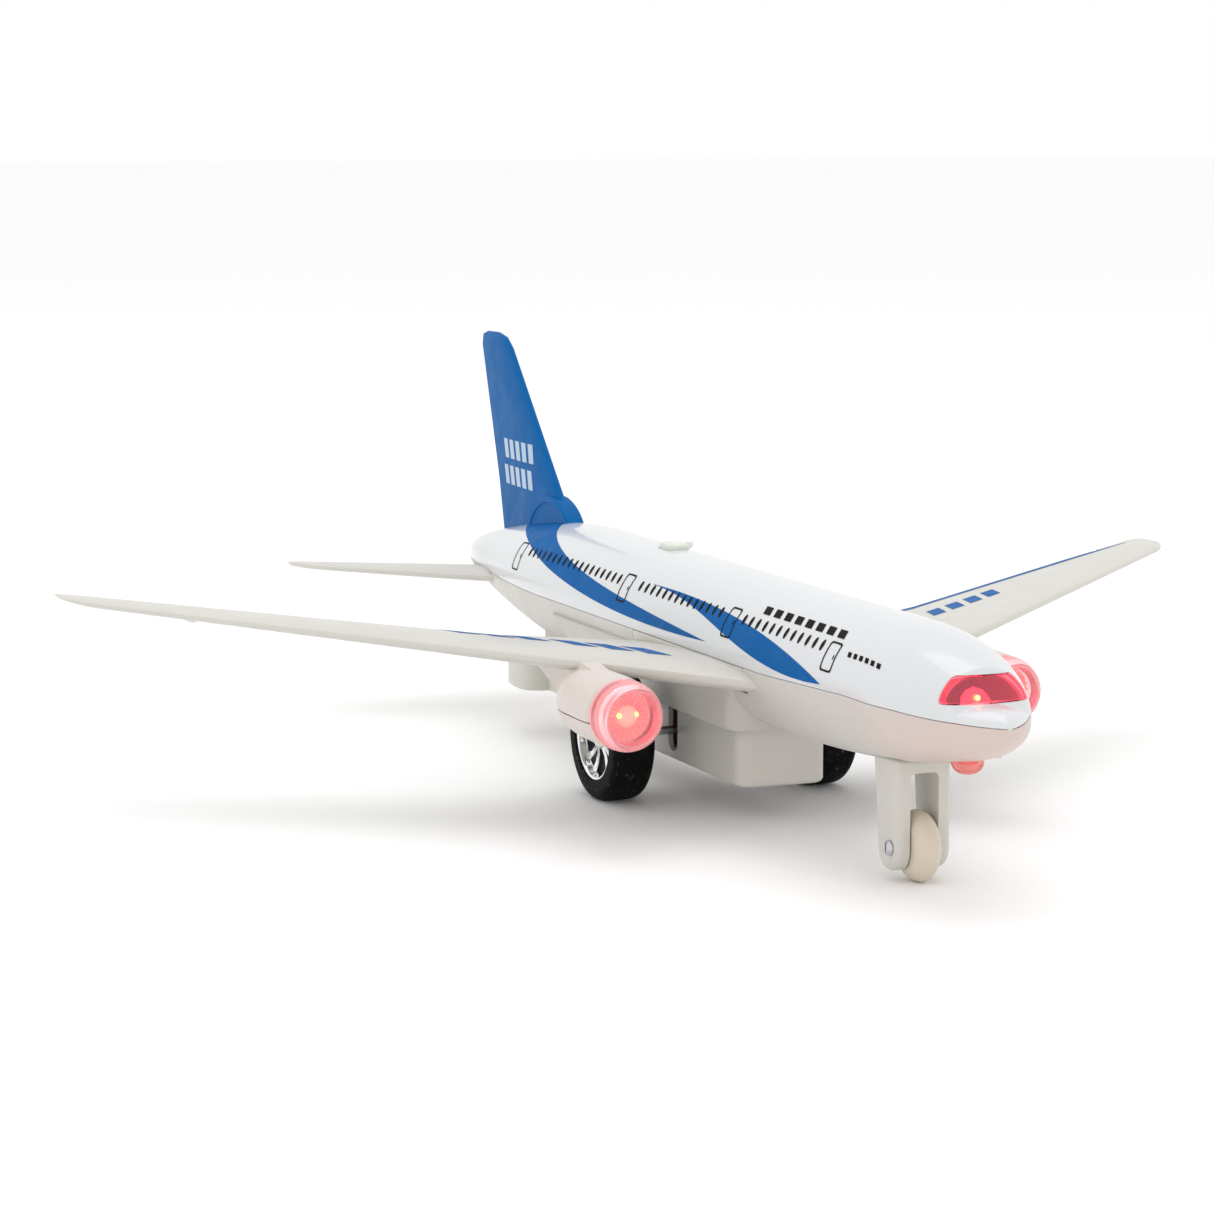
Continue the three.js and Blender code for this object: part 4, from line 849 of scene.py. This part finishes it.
def make_dome():
    outline = [
        (25.9, 0), (26.0, 1.0), (26.3, 1.9), (26.9, 2.75), (27.9, 3.3), (32.4, 3.3), (32.4, 4.2),
        (33.4, 4.2), (33.4, 2.1), (28.2, 2.1), (27.5, 1.2), (27.3, 0),
    ]
    dome = turned("belly_light_dome", "z", (0, DOME_STATION), soften(outline, 0.4), 64)
    place(dome, DOME_RED, stands_for=["belly_dome"])


def make_button():
    rings = []
    for z, inset in ((51.2, 0), (54.2, 0), (54.9, 0.2), (55.2, 0.55), (55.3, 1.1)):
        half, reach = 2.6 - inset, 4.2 - inset
        outline = rectangle(-half, half, BUTTON_STATION - reach, BUTTON_STATION + reach)
        corners = soften(outline, max(2.3 - inset, 0.6), closed=True, steps=8)
        rings.append([at(x, s, z) for x, s in corners])
    cap = loft("roof_button_cap", rings)
    flange = rectangle(-3.7, 3.7, BUTTON_STATION - 5.3, BUTTON_STATION + 5.3)
    join(cap, prism("flange", "z", soften(flange, 3.2, closed=True), 50.4, 51.6))
    join(cap, rod("stem", "z", (0, BUTTON_STATION), 1.7, 48.3, 51))
    place(cap, BUTTON_WHITE, "roof_button", ["sound_button"])


# ------------------------------------------------------------ belly tub
def tub_form(name, inset, top):
    """The tub's outer form, or its room when inset by the wall."""
    half = 10.7 - inset
    rings = []
    for z, trim in ((8.1 + inset, 0.9), (8.4 + inset, 0.35), (9.0 + inset, 0), (top, 0)):
        outline = rectangle(-half + trim, half - trim, -39 + inset + trim, 87)
        corners = soften(outline, max(4.2 - inset - trim, 1), closed=True, steps=8)
        rings.append([at(x, s, z) for x, s in corners])
    form = loft(name, rings)
    wide = 17.5 - inset
    rings = []
    for z, trim in ((8.1 + inset, 0), (12.0 + inset, 0.8), (12.8 + inset, 0), (top, 0)):
        outline = rectangle(-wide + trim, wide - trim, 79 + inset, 94.5 - inset - trim)
        rings.append([at(x, s, z) for x, s in soften(outline, 6 - inset, closed=True, steps=8)])
    join(form, loft("pod", rings))
    step = [(66, 0), (66, 8.1 + inset), (72, 12 + inset), (120, 12 + inset), (120, 0)]
    cut(form, prism("step", "x", step, -30, 30))
    return form


def make_tub():
    """The belly tub with its screw towers, axle slots, cover opening and sound holes."""
    tub = tub_form("belly_tub_moulding", 0, 21.2)
    room = tub_form("tub_room", 1.2, 24)
    cut(room, block("roof", -20, 20, 57.4, 100, 20, 30))
    cut(tub, room)
    for x, s, floor in ((7, -35.4, 8.1), (-7, -35.4, 8.1), (0, 85.5, 12)):
        join(tub, rod("screw_tower", "z", (x, s), 2.6, floor + 0.4, 21.2))
        cut(tub, rod("screw_way", "z", (x, s), 1.2, floor - 1, 22.2))
        cut(tub, rod("head_way", "z", (x, s), 1.9, floor - 1, 18.7))
    for x0 in (8.7, -11.7):
        cut(tub, block("slot", x0, x0 + 3, -3.6, 1.8, 12.9, 30))
        cut(tub, rod("slot_foot", "x", (-0.9, 12.9), 2.7, x0, x0 + 3))
    cut(tub, block("cover_room", -8.3, 8.3, 18.2, 62.8, 6, 9.6, 0.6))
    holes = [(4 * math.cos(TAU * i / 6), -23 + 4 * math.sin(TAU * i / 6)) for i in range(6)]
    for hole in holes + [(0, -23)]:
        cut(tub, rod("sound_hole", "z", hole, 0.9, 6, 11))
    place(tub, WARM_WHITE, stands_for=["belly_tub"])


def make_cover():
    cover = block("battery_door", -8, 8, 18.5, 62.5, 8.1, 9.3, 0.5)
    bevel(cover, 0.25)
    join(cover, rod("boss", "z", (0, 21.9), 3, 8.6, 10.6))
    cut(cover, rod("screw_way", "z", (0, 21.9), 1.2, 5, 12))
    cut(cover, rod("head_way", "z", (0, 21.9), 2.1, 5, 9.6))
    place(cover, WARM_WHITE, stands_for=["battery_cover"])


# ------------------------------------------------------------ printed livery
# How far each print lies off the surface; black is printed over blue.
BLUE_LIFT = 0.06
BLACK_LIFT = 0.11


def mirrored(angle, side):
    return angle if side > 0 else starboard(angle)


def patch(side, outline):
    """A filled print on the skin, from (station, angle in degrees) corners."""
    points = [skin(s, mirrored(math.radians(a), side), BLACK_LIFT) for s, a in outline]
    return new_piece("patch", points, [tuple(range(len(points)))])


def dense(points, step=0.5):
    """Adds points along the straight runs, so that a print follows the skin."""
    line = []
    for i, point in enumerate(points):
        a, b = Vector(point), Vector(points[(i + 1) % len(points)])
        count = max(1, round(max(abs(b[0] - a[0]), abs(b[1] - a[1]) * 0.28) / step))
        line += [tuple(a.lerp(b, k / count)) for k in range(count)]
    return line


def strip(side, outline, low, high, half, width):
    """A printed line round an outline: the outline itself and the same one drawn in by the width."""
    middle_s = sum(p[0] for p in outline) / len(outline)
    middle_a = (low + high) / 2
    across = 1 - width / half
    upward = 1 - width / (math.radians(high - low) * BODY_R / 2)
    outer = dense(outline)
    inner = [(middle_s + (s - middle_s) * across, middle_a + (a - middle_a) * upward) for s, a in outer]
    count = len(outer)
    points = [skin(s, mirrored(math.radians(a), side), BLACK_LIFT) for s, a in outer + inner]
    faces = [(i, (i + 1) % count, count + (i + 1) % count, count + i) for i in range(count)]
    return new_piece("strip", points, faces)


def oval(s, angle, width, height, count=16):
    """An oval's corners; its height is turned into degrees round the body."""
    half = width / 2
    high = math.degrees(height / 2 / BODY_R)
    turns = [TAU * i / count for i in range(count)]
    return [(s + half * math.cos(t), angle + high * math.sin(t)) for t in turns]


def door_outline(s, low, high, half, corner=0.8):
    """A rounded upright rectangle; angles are turned into lengths and back for round corners."""
    flat = rectangle(s - half, s + half, math.radians(low) * BODY_R, math.radians(high) * BODY_R)
    return [(x, math.degrees(y / BODY_R)) for x, y in soften(flat, corner, closed=True)]


# Doors as (station, lower and upper angle in degrees); window rows as (first station, count).
DOORS = [(-91, 16, 40), (-40.5, 16, 42), (20, 16, 42), (93.5, 11, 42)]
DOOR_HALF = 2.6
WINDOW_ROWS = [(-85.5, 12), (-34, 14), (25.5, 18)]
WINDOW_PITCH = 3.55


def slanted_bar(side, s, low, high, width, lean):
    """A black bar whose top leans aft."""
    return patch(side, [(s, low), (s - width, low), (s - width + lean, high), (s + lean, high)])


def black_prints(side):
    marks = []
    for s, low, high in DOORS:
        marks.append(strip(side, door_outline(s, low, high, DOOR_HALF, 0.9), low, high, DOOR_HALF, 0.42))
        marks.append(patch(side, oval(s - 1.5, (low + high) / 2, 0.4, 1.2, 10)))
    level = math.degrees(math.asin(9 / BODY_R))
    for first, count in WINDOW_ROWS:
        for i in range(count):
            s = first + WINDOW_PITCH * i
            marks.append(patch(side, oval(s, level - 0.04 * max(s - 60, 0), 1.3, 2.7)))
    marks += [slanted_bar(side, -52.5 - 5.2 * i, 43.5, 51, 3.3, 1.0) for i in range(8)]
    marks += [slanted_bar(side, -98 - 2.6 * i, 31.5, 35.5, 1.5, 0.5) for i in range(6)]
    return marks


# Each sweep lies between two curves; a curve has four guide points (station, angle in degrees).
SWEEPS = [
    ([(117, 82), (92, 18), (30, -2), (-31, 8)], [(90, 83), (76, 30), (34, 22), (-31, 8.1)]),
    ([(7, 39), (-30, 38), (-52, -7), (-90, 6)], [(7, 39.1), (-22, 42), (-60, 34), (-90, 6.1)]),
]


def guided_curve(guides, steps=48):
    """A cubic curve from the first guide point to the last, drawn towards the two between."""
    p0, p1, p2, p3 = (Vector(p) for p in guides)
    line = []
    for i in range(steps + 1):
        t = i / steps
        u = 1 - t
        line.append(u**3 * p0 + 3 * u * u * t * p1 + 3 * u * t * t * p2 + t**3 * p3)
    return line


def grid(name, columns):
    """A sheet over columns of equal count."""
    count = len(columns[0])
    faces = []
    for c in range(len(columns) - 1):
        for r in range(count - 1):
            k = c * count + r
            faces.append((k, k + 1, k + count + 1, k + count))
    return new_piece(name, [p for column in columns for p in column], faces)


def sweep(side, low, top, rows=10):
    """A printed swoosh between two curves on the skin."""
    columns = []
    for a, b in zip(guided_curve(low), guided_curve(top)):
        line = [a.lerp(b, i / rows) for i in range(rows + 1)]
        columns.append([skin(p.x, mirrored(math.radians(p.y), side), BLUE_LIFT) for p in line])
    return grid("sweep", columns)


def foil_height(front, rear, s, thickness):
    """Half the height of a foil at a station, as foil() draws it."""
    return thickness / 2 * foil_shape(clamp((s - front) / (rear - front), 0.001, 0.999))


def on_wing(side, x, s):
    """A point just over the wing's upper face."""
    thickness = lerp(5, 1.5, clamp((x - 16) / 126.5))
    rise = foil_height(wing_front(x), wing_rear(x), s, thickness)
    return at(side * x, s, wing_z(x) + rise + BLUE_LIFT)


def wing_print(side, near, far, rows=3, steps=24):
    """A band on the wing between two lines of (x, station), kept off the rear edge."""
    columns = []
    for i in range(steps + 1):
        a = Vector(near[0]).lerp(Vector(near[1]), i / steps)
        a.y = min(a.y, wing_rear(a.x) - 0.7)
        b = Vector(far[0]).lerp(Vector(far[1]), i / steps)
        line = [a.lerp(b, j / rows) for j in range(rows + 1)]
        columns.append([on_wing(side, p.x, p.y) for p in line])
    return grid("band", columns)


def wing_prints(side):
    """Slanted bars near the root; the port wing also has a tapering band along its rear edge."""
    bands = []
    if side > 0:
        bands.append(wing_print(side, [(30, 7.5), (136, 46.2)], [(30, -6), (136, 46)]))
        starts = [(52 + 7 * i, -5 + 4.2 * i, 8) for i in range(4)]
    else:
        starts = [(27 + 6.5 * i, -22 + 5.4 * i, 12) for i in range(3)]
        starts += [(48 + 6.5 * i, -3 + 4.4 * i, 12) for i in range(3)]
    for x, s, depth in starts:
        near = [(x, s), (x + 4.6, s + 2.6)]
        far = [(x - 2, s - depth), (x + 2.6, s + 2.6 - depth)]
        bands.append(wing_print(side, near, far, 8, 6))
    return bands


def fin_prints(side):
    """Two rows of plain pale bars."""
    lean = 1.4
    marks = []
    for z in (65.6, 58.7):
        for i in range(5):
            s = 113.5 + 4.8 * i
            corners = [(s, z), (s + 3.2, z), (s + 3.2 + lean, z + 5), (s + lean, z + 5)]
            marks.append(new_piece("bar", [fin_point(side, a, b) for a, b in corners], [(0, 1, 2, 3)]))
    return marks


def fin_point(side, s, z):
    """A point just off the fin's side."""
    front, rear, thickness = table_row(FIN_TABLE, z)
    return at(side * (foil_height(front, rear, s, thickness) + BLUE_LIFT), s, z)


def make_livery():
    for name, side in SIDES.items():
        sheets = [
            (f"windows_and_doors_{name}", black_prints(side), PRINT_BLACK, "upper_shell_white"),
            (f"blue_sweeps_{name}", [sweep(side, low, top) for low, top in SWEEPS], PRINT_BLUE, "fin_blue"),
            (f"wing_bands_{name}", wing_prints(side), PRINT_BLUE, "fin_blue"),
            (f"fin_bars_{name}", fin_prints(side), PRINT_PALE, "warm_white"),
        ]
        for title, marks, material, slot in sheets:
            place(merge(title, marks), material, crease=180)


# ------------------------------------------------------------ CAD pieces that keep their shape
FINISHES = {
    LED_CLEAR: ["cockpit_led", "belly_led", "engine_led_left", "engine_led_right"],
    WIRE_BLACK: ["engine_wire_left", "engine_wire_right"],
    AMBER: ["axle_gear", "compound_gear_1", "compound_gear_2", "gearbox_left", "gearbox_right"],
    STEEL: [
        "main_axle", "gear_shaft_1", "gear_shaft_2", "flywheel_shaft", "flywheel_left", "flywheel_right",
        "battery_cover_screw", "tub_screw_front_left", "tub_screw_front_right", "tub_screw_rear",
        "shell_screw_front", "shell_screw_rear",
    ],
    CELL_STEEL: ["button_cell_1", "button_cell_2", "button_cell_3"],
    BRASS: [
        "battery_contact_negative", "battery_bridge_lower", "battery_bridge_upper",
        "battery_contact_positive",
    ],
    BLACK_PLASTIC: ["battery_tray", "speaker_frame", "switch_plunger"],
    PAPER: ["speaker_cone"],
    BOARD: ["circuit_board"],
}


def finish_cad_nodes():
    for material, names in FINISHES.items():
        for name in names:
            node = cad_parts[name]
            for slot in node.material_slots:
                slot.material = material


# ------------------------------------------------------------ camera, floor and light
def make_camera():
    camera = bpy.data.objects.new("camera", bpy.data.cameras.new("camera"))
    scene.collection.objects.link(camera)
    camera.location = (-0.3120, -0.71792, 0.15268)
    camera.rotation_euler = (math.radians(81.95), 0, math.radians(-21.88))
    camera.data.lens = 100.8
    camera.data.sensor_width = 36
    camera.data.clip_start = 0.01
    scene.camera = camera


def make_floor():
    corners = [Vector((x, y, 0)) for x, y in rectangle(-14, 14, -14, 14)]
    floor = new_piece("floor", corners, [(0, 1, 2, 3)])
    floor.data.materials.append(moulded("floor_paper", (0.97, 0.97, 0.97), 0.9, 0.01, 0.005))


def make_light(name, place_at, size, energy):
    lamp = bpy.data.objects.new(name, bpy.data.lights.new(name, "AREA"))
    scene.collection.objects.link(lamp)
    lamp.location = place_at
    lamp.rotation_euler = (-Vector(place_at)).to_track_quat("-Z", "Y").to_euler()
    lamp.data.size = size
    lamp.data.energy = energy


def make_studio():
    world = bpy.data.worlds.new("studio")
    world.use_nodes = True
    world.node_tree.nodes["Background"].inputs["Color"].default_value = (1, 1, 1, 1)
    world.node_tree.nodes["Background"].inputs["Strength"].default_value = 1.0
    scene.world = world
    scene.view_settings.view_transform = "Standard"
    make_light("key", (-0.9, -1.1, 1.3), 1.0, 0.8)
    make_light("top", (0.1, 0.2, 1.5), 1.2, 5)


make_camera()
make_upper_shell()
make_lower_shell()
make_window()
make_fin()
for side_name, side_sign in SIDES.items():
    make_wing(side_name, side_sign)
    make_stabiliser(side_name, side_sign)
    make_engine(side_name, side_sign)
    make_lens(side_name, side_sign)
    make_wheel(side_name, side_sign)
make_nose_gear()
make_dome()
make_button()
make_tub()
make_cover()
make_livery()
finish_cad_nodes()
make_floor()
make_studio()
